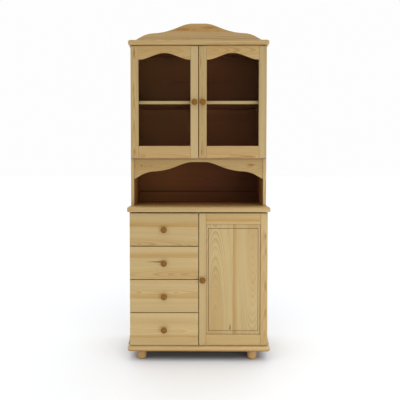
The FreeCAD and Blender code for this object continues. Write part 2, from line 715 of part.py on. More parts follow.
def bush_seats(x, y, low, high):
    """The holes in a stile for its bushes."""
    radius, depth = "size.bush_radius + size.glue_gap", "size.bush_length + size.cut_over + size.glue_gap"
    return [rod(x, y, f"{low} - size.cut_over", radius, depth),
            rod(x, y, f"{high} - size.bush_length - size.glue_gap", radius, depth)]


def pin_between(x, y, board_level, door_level, up):
    """A pivot pin from a board into a door's bush."""
    length = f"size.pivot_bite + abs({door_level} - {board_level}) + size.pivot_reach"
    start = f"{board_level} - size.pivot_bite" if up else f"{door_level} - size.pivot_reach"
    return rod(x, y, start, "size.pivot_radius", length)


pivot_pins = [
    pin_between("place.pivot_x", "place.lower_pivot_y", "place.base_top", "place.fronts_bottom", True),
    pin_between("place.pivot_x", "place.lower_pivot_y", "place.worktop_bottom", "place.fronts_top", False)]
brackets = []
for sign in SIDES.values():
    pivot_x = f"({sign} * place.pivot_x)"
    pivot_pins.append(pin_between(pivot_x, "place.upper_pivot_y", "place.cornice_bottom",
                                  "place.upper_door_top", False))
    plate = box(f"{pivot_x} - size.bracket_width / 2", "place.upper_pivot_y - size.bracket_width / 2",
                "place.bracket_top - size.bracket_thickness", "size.bracket_width",
                "place.upper_side_front + size.bracket_bite - place.upper_pivot_y + size.bracket_width / 2",
                "size.bracket_thickness")
    stub = rod(pivot_x, "place.upper_pivot_y", "place.bracket_top - size.bracket_thickness",
               "size.pivot_radius", "size.bracket_thickness + size.bracket_gap + size.pivot_reach")
    brackets.append(fuse([plate, stub]))
node(group(pivot_pins), "pivot_pins")
node(group(brackets), "pivot_brackets")

# %% Lower door

door_x, door_y, door_z = "place.front_inner", "place.lower_face", "place.fronts_bottom"
panel_x, panel_width = f"({door_x} + size.lower_stile)", "(place.front_width - 2 * size.lower_stile)"
panel_z = f"({door_z} + size.lower_bottom_rail)"
panel_height = "(place.fronts_height - size.lower_bottom_rail - size.lower_top_rail)"
tongue_y = "(place.lower_front_back - size.panel_tongue_back - size.panel_tongue_thickness)"
knob_x, knob_z = f"{door_x} + size.lower_stile / 2", f"{door_z} + place.fronts_height / 2"
panel_slot = box(f"{panel_x} - size.panel_groove", tongue_y, f"{panel_z} - size.panel_groove",
                 f"{panel_width} + 2 * size.panel_groove", "size.panel_tongue_thickness",
                 f"{panel_height} + 2 * size.panel_groove")

inner_stile = eased_board(door_x, door_y, door_z, "size.lower_stile", "size.lower_front_thickness",
                          "place.fronts_height")
outer_stile = eased_board("place.front_outer - size.lower_stile", door_y, door_z, "size.lower_stile",
                          "size.lower_front_thickness", "place.fronts_height")
seats = bush_seats("place.pivot_x", "place.lower_pivot_y", "place.fronts_bottom", "place.fronts_top")
node(group([cut(inner_stile, [panel_slot, knob_hole(knob_x, door_y, knob_z)]),
            cut(outer_stile, [panel_slot] + seats)]), "lower_door_stiles")
rails = [eased_board(panel_x, door_y, rail_z, panel_width, "size.lower_front_thickness", rail_height)
         for rail_z, rail_height in ((door_z, "size.lower_bottom_rail"),
                                     ("place.fronts_top - size.lower_top_rail", "size.lower_top_rail"))]
node(group([cut(rail, [panel_slot]) for rail in rails]), "lower_door_rails")

reach = "(size.panel_groove - size.fit_gap)"
tongue = box(f"{panel_x} - {reach}", tongue_y, f"{panel_z} - {reach}", f"{panel_width} + 2 * {reach}",
             "size.panel_tongue_thickness", f"{panel_height} + 2 * {reach}")
bevel = doc.addObject("Part::Wedge", "bevel")
bevel.Placement.Rotation = FreeCAD.Rotation(FreeCAD.Vector(1, 0, 0), 180)
slope = "(size.panel_raise - size.panel_bevel_step)"
bind(bevel, x=panel_x, y=tongue_y, z=f"{panel_z} + {panel_height}", Ymin="0", Ymax=slope,
     Xmin="size.fit_gap", Xmax=f"{panel_width} - size.fit_gap",
     Zmin="size.fit_gap", Zmax=f"{panel_height} - size.fit_gap",
     X2min="size.panel_bevel_side", X2max=f"{panel_width} - size.panel_bevel_side",
     Z2min="size.panel_bevel_end", Z2max=f"{panel_height} - size.panel_bevel_end")
field = eased_board(f"{panel_x} + size.panel_bevel_side", f"{tongue_y} - size.panel_raise",
                    f"{panel_z} + size.panel_bevel_end", f"{panel_width} - 2 * size.panel_bevel_side",
                    "size.panel_raise", f"{panel_height} - 2 * size.panel_bevel_end",
                    "size.panel_bevel_step / 2")
node(fuse([tongue, bevel, field]), "lower_door_panel")
knob("lower_door_knob", knob_x, door_y, knob_z)
node(bushes("place.pivot_x", "place.lower_pivot_y", "place.fronts_bottom", "place.fronts_top"),
     "lower_door_bushes")

# %% Upper doors, glazed under an arch

pane_width = "(place.front_width - 2 * size.upper_stile)"
rebate_y = "(place.upper_door_back - size.glass_back)"
pane_bottom = "(place.upper_door_bottom + size.upper_bottom_rail - size.glass_rebate)"
pane_top = "(place.upper_door_top - size.upper_top_rail + size.arch_rise + size.glass_rebate)"
for side, sign in SIDES.items():
    left_x = "-place.front_outer" if sign < 0 else "place.front_inner"
    pane_x = f"({left_x} + size.upper_stile)"
    hinge_x = f"({sign} * place.pivot_x)"
    meeting_x = f"({sign} * (place.front_inner + size.upper_stile / 2))"
    middle_z = "(place.upper_door_bottom + place.upper_door_height / 2)"
    pocket = box(f"{pane_x} - size.glass_rebate", rebate_y, pane_bottom,
                 f"{pane_width} + 2 * size.glass_rebate", "size.glass_back + size.cut_over",
                 f"{pane_top} - {pane_bottom}")
    seats = bush_seats(hinge_x, "place.upper_pivot_y", "place.upper_door_bottom", "place.upper_door_top")
    handle_hole = knob_hole(meeting_x, "place.upper_face", middle_z)
    stiles = []
    far_x = f"{left_x} + place.front_width - size.upper_stile"
    for stile_x, hinged in ((left_x, sign < 0), (far_x, sign > 0)):
        stile = eased_board(stile_x, "place.upper_face", "place.upper_door_bottom", "size.upper_stile",
                            "size.upper_door_thickness", "place.upper_door_height")
        stiles.append(cut(stile, [pocket] + (seats if hinged else [handle_hole])))
    node(group(stiles), f"upper_door_{side}_stiles")

    low_rail = eased_board(pane_x, "place.upper_face", "place.upper_door_bottom", pane_width,
                           "size.upper_door_thickness", "size.upper_bottom_rail")
    half_pane = value(pane_width) / 2
    arch = wave_edges(ARCH_WAVE, half_pane, value("size.arch_rise"),
                      value("size.arch_rise") - value("size.upper_top_rail"))
    arch_shape = waved_board(arch, half_pane, 0, value("size.upper_door_thickness"))
    top_rail = shaped(arch_shape, f"{pane_x} + {pane_width} / 2", "place.upper_face", "place.upper_door_top")
    node(group([cut(low_rail, [pocket]), cut(top_rail, [pocket])]), f"upper_door_{side}_rails")

    glass_x = f"({pane_x} - size.glass_rebate + size.fit_gap)"
    glass_width = f"({pane_width} + 2 * size.glass_rebate - 2 * size.fit_gap)"
    glass_z = f"({pane_bottom} + size.fit_gap)"
    glass_height = f"({pane_top} - {pane_bottom} - 2 * size.fit_gap)"
    node(box(glass_x, rebate_y, glass_z, glass_width, "size.glass_thickness", glass_height),
         f"upper_door_{side}_glass")
    bead_y, bead = f"{rebate_y} + size.glass_thickness", "size.glass_rebate - size.fit_gap"
    beads = [box(x, bead_y, glass_z, bead, "size.bead_depth", glass_height)
             for x in (glass_x, f"{glass_x} + {glass_width} - ({bead})")]
    beads += [box(f"{glass_x} + {bead}", bead_y, z, f"{glass_width} - 2 * ({bead})", "size.bead_depth", bead)
              for z in (glass_z, f"{glass_z} + {glass_height} - ({bead})")]
    node(group(beads), f"upper_door_{side}_beads")
    knob(f"upper_door_{side}_knob", meeting_x, "place.upper_face", middle_z)
    node(bushes(hinge_x, "place.upper_pivot_y", "place.upper_door_bottom", "place.upper_door_top"),
         f"upper_door_{side}_bushes")

# %% Check the document and write the sub-parts

doc.recompute()
failed = [f"{item.Label}: {item.State}" for item in doc.Objects if {"Invalid", "Error"} & set(item.State)]
if failed:
    raise RuntimeError("failed objects: " + "; ".join(failed))
labels = [item.Label for item in NODES]
if len(set(labels)) != len(labels):
    raise RuntimeError("two sub-parts share a name")
os.makedirs("parts", exist_ok=True)
for item in NODES:
    shape = item.Shape
    if shape.isNull() or not shape.isValid() or not shape.Solids:
        raise RuntimeError(f"{item.Label} has no valid solid")
for item in NODES:
    item.Shape.exportStep(f"parts/{item.Label}.step")
print(len(NODES), "sub-parts")
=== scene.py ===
# %% [markdown]
# # A pine pantry cabinet
# Four drawers and a panelled door stand below, an open niche is in the middle, and two glazed doors with a
# waved crest are on top. The joiner's model already holds every board at its true size, so this lesson adds
# what the eye looks for: turned knobs, softened edges, lacquered pine, glass and soft daylight.

# %% Load the joiner's model
import math

import bmesh
import bpy
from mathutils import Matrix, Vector


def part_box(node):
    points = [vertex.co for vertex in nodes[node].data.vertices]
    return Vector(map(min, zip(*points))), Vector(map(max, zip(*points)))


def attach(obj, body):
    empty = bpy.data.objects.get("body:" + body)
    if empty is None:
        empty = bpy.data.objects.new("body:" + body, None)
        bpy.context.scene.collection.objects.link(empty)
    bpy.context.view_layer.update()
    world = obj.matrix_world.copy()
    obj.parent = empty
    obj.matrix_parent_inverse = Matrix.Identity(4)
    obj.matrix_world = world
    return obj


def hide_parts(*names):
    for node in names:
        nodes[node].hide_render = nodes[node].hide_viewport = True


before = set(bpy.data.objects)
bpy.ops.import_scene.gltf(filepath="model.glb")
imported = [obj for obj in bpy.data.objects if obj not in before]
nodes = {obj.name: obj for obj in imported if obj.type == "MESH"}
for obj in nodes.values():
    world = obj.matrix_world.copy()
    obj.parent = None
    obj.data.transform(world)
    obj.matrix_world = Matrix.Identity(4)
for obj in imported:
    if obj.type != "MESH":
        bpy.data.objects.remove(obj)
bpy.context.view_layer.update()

MM = 0.001

# %% [markdown]
# Every piece that is made here has to be placed by the boards round it, so a few short helpers come first:
# one reads the middle and size of a board, one makes an object of a mesh, one shades it smoothly except
# where two faces meet at a real corner.

# %% Helpers for places and meshes
def span(node):
    """Low corner, high corner, middle and size of a board, in metres."""
    low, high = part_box(node)
    return low, high, (low + high) / 2, high - low


def new_piece(name, mesh, slot, body, *stands_for):
    """An object that rides on a body and stands for the joiner's plain boards; slot, the name of its finish, is not
    used.
    """
    piece = bpy.data.objects.new(name, mesh)
    bpy.context.scene.collection.objects.link(piece)
    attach(piece, body)
    if stands_for:
        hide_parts(*stands_for)
    return piece


def smooth_with_corners(mesh, degrees=35):
    """Smooth shading that keeps real corners crisp."""
    mesh.shade_smooth()
    made = bmesh.new()
    made.from_mesh(mesh)
    for edge in made.edges:
        if len(edge.link_faces) == 2 and edge.calc_face_angle() > math.radians(degrees):
            edge.smooth = False
    made.to_mesh(mesh)
    made.free()


# %% [markdown]
# Pine shows where in the trunk a board was cut. A solid pattern does the same: each point gets its distance
# from the heart of the trunk, and the year rings are equal steps of that distance. Where the heart runs
# close under a face and slants a little, the rings meet the face in the arches that joiners call
# cathedrals; where it is far away they are straight lines. A painted picture could not do that on the end
# of a board and on its face at once.

# %% A small helper that wires shader nodes
class Wiring:
    """Adds nodes to a tree and links them, so that a pattern reads like arithmetic."""

    def __init__(self, tree):
        self.tree = tree

    def put(self, socket, value):
        if isinstance(value, bpy.types.NodeSocket):
            self.tree.links.new(value, socket)
        else:
            socket.default_value = value

    def node(self, kind, settings=(), **inputs):
        made = self.tree.nodes.new(kind)
        for key, value in dict(settings).items():
            setattr(made, key, value)
        for key, value in inputs.items():
            self.put(made.inputs[key.replace("_", " ")], value)
        return made

    def math(self, operation, *values):
        made = self.node("ShaderNodeMath", {"operation": operation})
        for socket, value in zip(made.inputs, values):
            self.put(socket, value)
        return made.outputs[0]

    def add(self, first, second):
        return self.math("ADD", first, second)

    def less(self, first, second):
        return self.math("SUBTRACT", first, second)

    def times(self, *values):
        product = values[0]
        for value in values[1:]:
            product = self.math("MULTIPLY", product, value)
        return product

    def over(self, first, second):
        return self.math("DIVIDE", first, second)

    def vector(self, operation, *values):
        made = self.node("ShaderNodeVectorMath", {"operation": operation})
        for socket, value in zip(made.inputs, values):
            self.put(socket, value)
        return made.outputs[0]

    def combine(self, x, y, z):
        return self.node("ShaderNodeCombineXYZ", X=x, Y=y, Z=z).outputs[0]

    def noise(self, place, scale, detail=2.0, roughness=0.5, output="Factor"):
        made = self.node("ShaderNodeTexNoise", Vector=place, Scale=scale, Detail=detail, Roughness=roughness)
        return made.outputs[0 if output == "Factor" else 1]

    def ramp(self, value, *stops):
        """A colour or grey ramp from (place, colour) stops."""
        made = self.node("ShaderNodeValToRGB")
        self.put(made.inputs[0], value)
        elements = made.color_ramp.elements
        while len(elements) < len(stops):
            elements.new(1.0)
        for element, (place, colour) in zip(elements, stops):
            element.position = place
            element.color = colour if isinstance(colour, tuple) else (colour, colour, colour, 1.0)
        return made.outputs[0]

    def step(self, value, low, high, first=0.0, last=1.0):
        """A soft step from first to last as value goes from low to high."""
        made = self.node("ShaderNodeMapRange", {"interpolation_type": "SMOOTHSTEP", "clamp": True},
                         Value=value, To_Min=first, To_Max=last)
        self.put(made.inputs["From Min"], low)
        self.put(made.inputs["From Max"], high)
        return made.outputs[0]

    def mix(self, share, first, second, blend="MIX"):
        made = self.node("ShaderNodeMix", {"data_type": "RGBA", "blend_type": blend})
        for key, value in (("Factor_Float", share), ("A_Color", first), ("B_Color", second)):
            self.put(next(s for s in made.inputs if s.identifier == key), value)
        return next(s for s in made.outputs if s.identifier == "Result_Color")


# %% [markdown]
# Lacquered pine has three colours: pale early wood, an orange late line at the end of each year, and a
# warmer ochre where the heartwood begins. A colour is easiest to choose as the eye reads it, from 0 to 255,
# while a shader counts light, so one small function turns the first into the second.

# %% The colours of pine
def colour(red, green, blue):
    """A colour given as the eye reads it, 0 to 255, in the light values that a shader needs."""
    def light(channel):
        share = channel / 255
        return share / 12.92 if share <= 0.04045 else ((share + 0.055) / 1.055) ** 2.4
    return (light(red), light(green), light(blue), 1.0)


PALE, LATE, OCHRE = colour(193, 168, 118), colour(142, 101, 48), colour(174, 136, 68)
KNOT = colour(96, 58, 28)
print("pale pine as light:", [round(value, 3) for value in PALE[:3]])

# %% [markdown]
# All boards share one pattern, kept in a node group, and each board sets the group's inputs in its own way.
# The pattern works in a board's own directions: along the grain, across the face and into the thickness.
# The table gives the value of each input when a board says nothing. A band or a knot that is nine metres
# away is simply not on the board.

# %% The inputs and outputs of the pine pattern
FAR_AWAY = 9.0
PATTERN_INPUTS = {
    "Along": 0.0, "Across": 0.0, "Deep": 0.0,                           # the place in the board
    "Seed": 0.0, "Stave": 1.0,                                          # the dice, the width of one stave
    "Heart Across": 0.0, "Heart Deep": 0.05, "Slant": 0.02,             # where the heart of the trunk runs
    "Ring": 0.0036, "Contrast": 0.7,                                    # a year's growth, its late line
    "Band At": FAR_AWAY, "Band Width": 0.02, "Band Strength": 0.0,      # a stripe of heartwood
    "Knot Along": FAR_AWAY, "Knot Across": 0.0, "Knot Size": 0.006}


def pattern_tree():
    """An empty node group with the inputs and outputs of the pattern."""
    tree = bpy.data.node_groups.new("pine_pattern", "ShaderNodeTree")
    for name, start in PATTERN_INPUTS.items():
        socket = tree.interface.new_socket(name=name, in_out="INPUT", socket_type="NodeSocketFloat")
        socket.default_value = start
    for name, kind in (("Colour", "Color"), ("Late", "Float"), ("Fibre", "Float")):
        tree.interface.new_socket(name=name, in_out="OUTPUT", socket_type="NodeSocket" + kind)
    return tree


print("inputs of the pattern:", len(PATTERN_INPUTS))

# %% [markdown]
# Wide boards are glued from staves, and each stave comes from another trunk. So the pattern first finds the
# stave that a point is in, rolls three dice for it, and lets them move the heart of its trunk. The heart
# also wanders and slants along the board. Without that, every ring would be a ruled line.

# %% Staves and the heart of the trunk
WIDEST_STAVE, STAVE_STEP = 0.5, 7.31        # metres; how far apart the dice of two neighbours are
HEART_MOVES = 0.03                          # metres that wandering or a die may move the heart


def place_in_trunk(w, given):
    """Distances from the heart of the trunk, with the stave's number, third die, slow place and sway."""
    along, across = given["Along"], given["Across"]
    count = w.add(w.over(across, given["Stave"]), 0.5)
    glued = w.math("LESS_THAN", given["Stave"], WIDEST_STAVE)
    inner = w.times(w.less(w.math("FRACT", count), 0.5), given["Stave"])
    key = w.add(w.times(w.math("FLOOR", count), STAVE_STEP), given["Seed"])
    dice = w.node("ShaderNodeTexWhiteNoise", {"noise_dimensions": "1D"}, W=key).outputs["Color"]
    rolls = w.node("ShaderNodeSeparateColor", Color=dice).outputs
    one, two, three = (w.less(roll, 0.5) for roll in rolls)
    far = w.add(along, w.times(key, 3.7))
    slow = w.noise(w.combine(w.times(far, 1.3), key, 0.0), 1.0, 1.0)
    sway = w.noise(w.combine(w.times(far, 5.0), w.times(across, 6.0), key), 1.0, 2.0)
    heart_across = w.add(given["Heart Across"], w.times(one, given["Stave"], glued))
    heart_across = w.add(heart_across, w.times(w.less(slow, 0.5), HEART_MOVES))
    heart_deep = w.add(given["Heart Deep"], w.times(two, glued, HEART_MOVES))
    heart_deep = w.add(heart_deep, w.times(along, given["Slant"]))
    return w.less(inner, heart_across), w.less(given["Deep"], heart_deep), key, three, far, sway


# %% [markdown]
# The rings are equal steps of the distance from the heart, made a little uneven, because a dry year grows
# less wood than a wet one. A branch that grew out of the trunk pushes the rings aside, and its cut end is a
# knot. Within one year the wood darkens slowly and then stops at a sharp edge, where winter came.

# %% Year rings and knots
SWAY, KNOT_PUSH = 0.009, 0.014              # metres that a ring may be pushed by noise and by a knot
UNEVEN_YEARS = 2.2
WITHIN_A_YEAR = ((0.0, 0.05), (0.45, 0.12), (0.84, 1.0), (0.95, 0.75), (1.0, 0.05))


def year_rings(w, given, aside, below, key, sway):
    """The distance from the heart, how much late wood there is, and the distance from the knot."""
    to_knot = w.combine(w.times(w.less(given["Along"], given["Knot Along"]), 0.55),
                        w.less(given["Across"], given["Knot Across"]), 0.0)
    length = w.node("ShaderNodeVectorMath", {"operation": "LENGTH"})
    w.put(length.inputs[0], to_knot)
    gap = w.over(length.outputs["Value"], given["Knot Size"])
    push = w.over(1.0, w.add(1.0, w.times(gap, gap)))
    radius = w.math("SQRT", w.add(w.times(aside, aside), w.times(below, below)))
    radius = w.add(radius, w.times(w.less(sway, 0.5), SWAY))
    radius = w.add(radius, w.times(push, KNOT_PUSH))
    uneven = w.noise(w.combine(w.times(radius, 90.0), key, 0.0), 1.0, 1.0)
    year = w.math("FRACT", w.add(w.over(radius, given["Ring"]), w.times(uneven, UNEVEN_YEARS)))
    good_years = w.noise(w.combine(w.times(radius, 34.0), w.add(key, 5.0), 0.0), 1.0, 1.0)
    late = w.times(w.ramp(year, *WITHIN_A_YEAR), w.step(good_years, 0.28, 0.72, 0.25, 1.0))
    return radius, late, gap


# %% [markdown]
# Three more things make pine look alive: fibres as fine as hair, clouds of tone as long as a hand, and the
# stripe of heartwood, which fades on one side and stops sharply on the other. The last function mixes all
# colours, and darker places also turn a little more orange, as real wood does under lacquer.

# %% Fibres, bands and the final colour
def heartwood(w, given, radius, sway, fibre):
    """How much ochre there is: the band across the face and the core round the heart."""
    drift = w.times(w.less(sway, 0.5), 0.012)
    place = w.over(w.add(w.less(given["Across"], given["Band At"]), drift), given["Band Width"])
    band = w.times(w.step(place, -1.08, -0.86), w.step(place, -0.5, 1.25, 1.0, 0.0))
    band = w.times(band, given["Band Strength"], w.step(fibre, 0.25, 0.7, 0.6, 1.0))
    return w.math("MINIMUM", w.add(band, w.step(radius, 0.055, 0.02, 0.0, 0.35)), 1.0)


def make_pine_group():
    tree = pattern_tree()
    w = Wiring(tree)
    given = w.node("NodeGroupInput").outputs
    aside, below, key, third_die, far, sway = place_in_trunk(w, given)
    radius, late, gap = year_rings(w, given, aside, below, key, sway)
    fine_across, fine_deep = w.times(given["Across"], 520.0), w.times(given["Deep"], 520.0)
    fibre = w.noise(w.combine(w.times(far, 9.0), fine_across, fine_deep), 1.0, 3.0, 0.6)
    cloud = w.noise(w.combine(w.times(far, 2.6), w.times(given["Across"], 21.0), key), 1.0, 2.0)

    tint = w.mix(heartwood(w, given, radius, sway, fibre), PALE, OCHRE)
    tint = w.mix(w.times(late, given["Contrast"]), tint, LATE)
    tint = w.mix(w.step(gap, 0.75, 1.35, 0.85, 0.0), tint, KNOT)
    tone = w.add(w.times(w.less(cloud, 0.5), 0.13), w.times(third_die, 0.10))
    tone = w.add(w.add(tone, w.times(w.less(fibre, 0.5), 0.16)), 1.0)
    warmer = w.combine(tone, w.math("POWER", tone, 1.08), w.math("POWER", tone, 1.25))
    out = w.node("NodeGroupOutput")
    for name, value in (("Colour", w.vector("MULTIPLY", tint, warmer)), ("Late", late), ("Fibre", fibre)):
        w.put(out.inputs[name], value)
    return tree


pine_group = make_pine_group()
print("pine pattern nodes:", len(pine_group.nodes))

# %% [markdown]
# A board's material feeds the pattern with places and sets its inputs. A look such as heart=(0.0, 0.03) is a
# short name for two inputs, so a small table says which inputs each word sets.

# %% One trunk's figure in a material
LOOK_INPUTS = {
    "seed": ("Seed",), "stave": ("Stave",), "slant": ("Slant",), "ring": ("Ring",), "contrast": ("Contrast",),
    "heart": ("Heart Across", "Heart Deep"), "band": ("Band At", "Band Width", "Band Strength"),
    "knot": ("Knot Along", "Knot Across", "Knot Size")}


def shader_of(name):
    """A fresh material with its main shader and a wiring helper."""
    material = bpy.data.materials.new(name)
    material.use_nodes = True
    return material, material.node_tree.nodes["Principled BSDF"], Wiring(material.node_tree)


def figure(w, along, across, deep, look):
    """One trunk's figure: its colour, late wood and fibre."""
    group = w.node("ShaderNodeGroup", {"node_tree": pine_group})
    given = {"Along": along, "Across": across, "Deep": deep}
    for word, names in LOOK_INPUTS.items():
        values = look.get(word, ())
        given.update(zip(names, values if isinstance(values, tuple) else (values,)))
    for key, value in given.items():
        w.put(group.inputs[key], value)
    return [group.outputs[name] for name in ("Colour", "Late", "Fibre")]


print("words for a look:", ", ".join(LOOK_INPUTS))

# %% [markdown]
# Here and there pine shows a slim lens of resin or a dark thread of pith. It is thin, long and never quite
# straight, so it is drawn as a distance from a line: the line wiggles, and the lens swells from its ends to
# its thickest place.

# %% Resin and pith
HAIR = 0.00002              # metres; keeps the lens from having no thickness at its ends


def streak(w, tint, along, across, start, end, level, thick, shade, peak=0.5):
    """A slim lens of resin or pith; peak says where along it is thickest."""
    share = w.over(w.less(along, start), end - start)
    rising, falling = w.over(share, peak), w.over(w.less(1.0, share), 1.0 - peak)
    swell = w.step(w.math("MINIMUM", rising, falling), 0.0, 1.0)
    wiggle = w.noise(w.combine(w.times(along, 40.0), level * 50.0, 0.0), 1.0, 2.0)
    gap = w.less(w.less(across, level), w.times(w.less(wiggle, 0.5), thick))
    gap = w.over(w.math("ABSOLUTE", gap), w.add(w.times(swell, thick), HAIR))
    mask = w.times(w.step(gap, 0.3, 1.3, 0.8, 0.0), w.step(swell, 0.0, 0.15))
    return w.mix(mask, tint, shade)


# %% [markdown]
# The grain of a rail runs from side to side and the grain of a stile runs up, so each board says which axis
# is along and which is deep. The lacquer is a thin clear coat over wood that stays a little rough, and the
# late wood stands a hair above the early wood, which a bump shows when light grazes the face.

# %% The finish of a lacquered pine board
AXES = {"X": 0, "Y": 1, "Z": 2}
USUAL_DEPTH = {"X": "Y", "Z": "Y", "Y": "Z"}        # the axis of thickness for each way of the grain
THIN_EDGE = 0.0002                                  # metres over which one finish gives way to the next
LATE_STANDS, BUMP_STRENGTH, BUMP_HEIGHT = 0.6, 0.25, 0.0004
FIBRE_ROUGHNESS, COAT_ROUGHNESS = 0.16, 0.3


def pine(name, grain, middle, deep=None, staves=(), streaks=(), tint=(1.0, 1.0, 1.0), dye=None, gloss=0.42,
         coat=0.15, shine=0.3, **look):
    """Lacquered pine whose grain runs along X, Y or Z; deep is the axis of the board's thickness."""
    material, shader, w = shader_of(name)
    deep = deep or USUAL_DEPTH[grain]
    across = next(axis for axis in "XZY" if axis not in (grain, deep))
    place = w.vector("SUBTRACT", w.node("ShaderNodeTexCoord").outputs["Object"], tuple(middle))
    parts = w.node("ShaderNodeSeparateXYZ", Vector=place).outputs
    ways = [parts[AXES[axis]] for axis in (grain, across, deep)]
    tinted, late, fibre = figure(w, *ways, look)
    for edge, other in staves:
        here = w.step(ways[1], edge - THIN_EDGE, edge + THIN_EDGE)
        next_tinted, next_late, next_fibre = figure(w, *ways, other)
        tinted = w.mix(here, tinted, next_tinted)
        late = w.add(late, w.times(here, w.less(next_late, late)))
        fibre = w.add(fibre, w.times(here, w.less(next_fibre, fibre)))
    for mark in streaks:
        tinted = streak(w, tinted, *ways[:2], *mark)
    tinted = w.vector("MULTIPLY", tinted, tint)
    if dye:
        tinted = dye(w, tinted, late, parts)
    w.put(shader.inputs["Base Color"], tinted)
    w.put(shader.inputs["Roughness"], w.add(w.times(fibre, FIBRE_ROUGHNESS), gloss - FIBRE_ROUGHNESS / 2))
    height = w.add(w.times(late, LATE_STANDS), fibre)
    bump = w.node("ShaderNodeBump", Height=height, Strength=BUMP_STRENGTH, Distance=BUMP_HEIGHT)
    w.put(shader.inputs["Normal"], bump.outputs[0])
    for socket, value in (("Coat Weight", coat), ("Coat Roughness", COAT_ROUGHNESS), ("Specular IOR Level", shine)):
        shader.inputs[socket].default_value = value
    return material


def finish(piece, material):
    """Give a piece one material in place of what it had."""
    piece.data.materials.clear()
    piece.data.materials.append(material)


# %% [markdown]
# The back panels are stained dark brown, almost like walnut, so that what stands in the cabinet shows up
# against them. A stain soaks in more where the wood is dense, and so the figure stays visible as slightly
# darker lines. Some boards get the stain's brown painted on as shade where they run towards the back, and a
# thin glaze of painted shade darkens the faces that are turned inwards. A dye here is a function: it takes
# the colour so far and gives the dyed colour.

# %% Stain, and a glaze of painted shade
# the brown is a real stain on the backs and painted shade where other dyes use it; the glaze is painted shade
STAIN_AND_SHADE_BROWN, STAIN_AND_SHADE_DEEP, SHADE_GLAZE = colour(115, 67, 37), colour(84, 45, 23), (0.66, 0.45, 0.27)


def stain_and_shade(w, tinted, late, parts):
    """A brown stain over the whole board; other dyes also paint this brown as shade."""
    return w.mix(late, STAIN_AND_SHADE_BROWN, STAIN_AND_SHADE_DEEP)


def towards(*spans, full=False):
    """Painted shade, as a thin brown glaze or the full brown of the stain, that grows along every span (axis, sign,
    start, end).
    """
    def dye(w, tinted, late, parts):
        share = 1.0
        for axis, sign, start, end in spans:
            share = w.times(w.step(w.times(parts[AXES[axis]], sign), start, end), share)
        darker = stain_and_shade(w, tinted, late, parts) if full else w.vector("MULTIPLY", tinted, SHADE_GLAZE)
        return w.mix(share, tinted, darker)
    return dye


def painted_shade_beyond(*limits):
    """The stain's brown painted as shade only past every limit (axis, sign, place), so that the faces that show
    stay natural.
    """
    return towards(*((axis, sign, at - THIN_EDGE, at + THIN_EDGE) for axis, sign, at in limits), full=True)


def both(first, second):
    """One dye over another."""
    return lambda w, tinted, late, parts: second(w, first(w, tinted, late, parts), late, parts)


# %% [markdown]
# Now the boards get their pine, first the sides. A board without a seed of its own takes one from its name,
# so that no two boards look alike and every run gives the same wood. Inside the upper unit the faces of the
# sides that are turned inwards get a glaze of painted shade, and towards the back the stain's brown is
# painted onto them as deeper shade.

# %% Sides of both units
def board(node, grain, **look):
    """Finish one of the joiner's boards with pine of its own."""
    look.setdefault("seed", 1.7 * len(node) + sum(map(ord, node)) * 0.37)
    finish(nodes[node], pine("pine_" + node, grain, span(node)[2], **look))


for side, inwards in (("left", 1.0), ("right", -1.0)):
    inner_face = ("X", inwards, 8.7 * MM, 8.9 * MM)
    board(f"lower_side_{side}", "Z", deep="X", stave=0.095, heart=(0.0, 0.03))
    # painted shade on the inner face: a glaze, and the stain's brown towards the back
    board(f"upper_side_{side}", "Z", deep="X", stave=0.09, heart=(0.0, 0.03), coat=0.05,
          dye=both(towards(inner_face), towards(inner_face, ("Y", 1.0, -0.06, 0.05), full=True)))
    board(f"side_skirt_{side}", "Y", deep="X", heart=(0.0, 0.04))
board("lower_divider", "Z", deep="X", stave=0.09)
print("a side is", round(span("upper_side_left")[3].x / MM, 1), "mm thick")

# %% [markdown]
# The flat boards lie with their thickness upwards. The base board's lower edge and underside carry painted
# shade. The worktop is painted browner towards the back of the niche, as shade, the cornice's underside
# behind the doors is painted brown as shade, and so is the shelf except for its front lip, whose lighter
# tint is painted light behind the glass.

# %% Flat boards
JUST_INSIDE, TOP_FACE = 1 * MM, ("Z", 1.0, 0.0, 0.012)
underside = span("base_board")[3].z / 2 - JUST_INSIDE
# painted shade: a glaze darkens the lower edge, and the underside is painted with the stain's brown
board("base_board", "X", deep="Z", stave=0.11, heart=(0.0, 0.06), slant=0.01, tint=(0.97, 0.96, 0.94),
      dye=both(towards(("Z", -1.0, -0.002, 0.011)), painted_shade_beyond(("Z", -1.0, underside))))
# painted shade: a glaze darkens the top face towards the back of the niche, and further back the stain's brown is
# painted on
board("worktop", "X", deep="Z", stave=0.092, heart=(0.01, 0.035), slant=0.015, tint=(0.98, 0.98, 0.98),
      dye=both(towards(("Y", 1.0, -0.15, -0.06), TOP_FACE), towards(("Y", 1.0, 0.0, 0.15), TOP_FACE, full=True)))
cornice_middle, cornice_size = span("cornice")[2:]
behind_doors = ("Y", 1.0, span("upper_side_left")[0].y - cornice_middle.y)
# painted shade: the underside behind the doors is painted with the stain's brown
board("cornice", "X", deep="Z", stave=0.1, heart=(0.0, 0.05), slant=0.01, tint=(0.91, 0.88, 0.81),
      dye=painted_shade_beyond(behind_doors, ("Z", -1.0, cornice_size.z / 2 - JUST_INSIDE)))
# painted shade: all but the front lip is painted with the stain's brown; the lighter tint, which shows on the lip,
# is painted light
shelf_lip = 2 * MM - span("upper_shelf")[3].y / 2
board("upper_shelf", "X", deep="Z", stave=0.085, heart=(0.0, 0.03), tint=(1.12, 1.1, 1.12),
      dye=painted_shade_beyond(("Y", 1.0, shelf_lip)), coat=0.0, shine=0.1)
board("upper_floor", "X", deep="Z", stave=0.09)
board("lower_shelf", "X", deep="Z", stave=0.1)
print("the worktop is", round(span("worktop")[3].z / MM, 1), "mm thick")

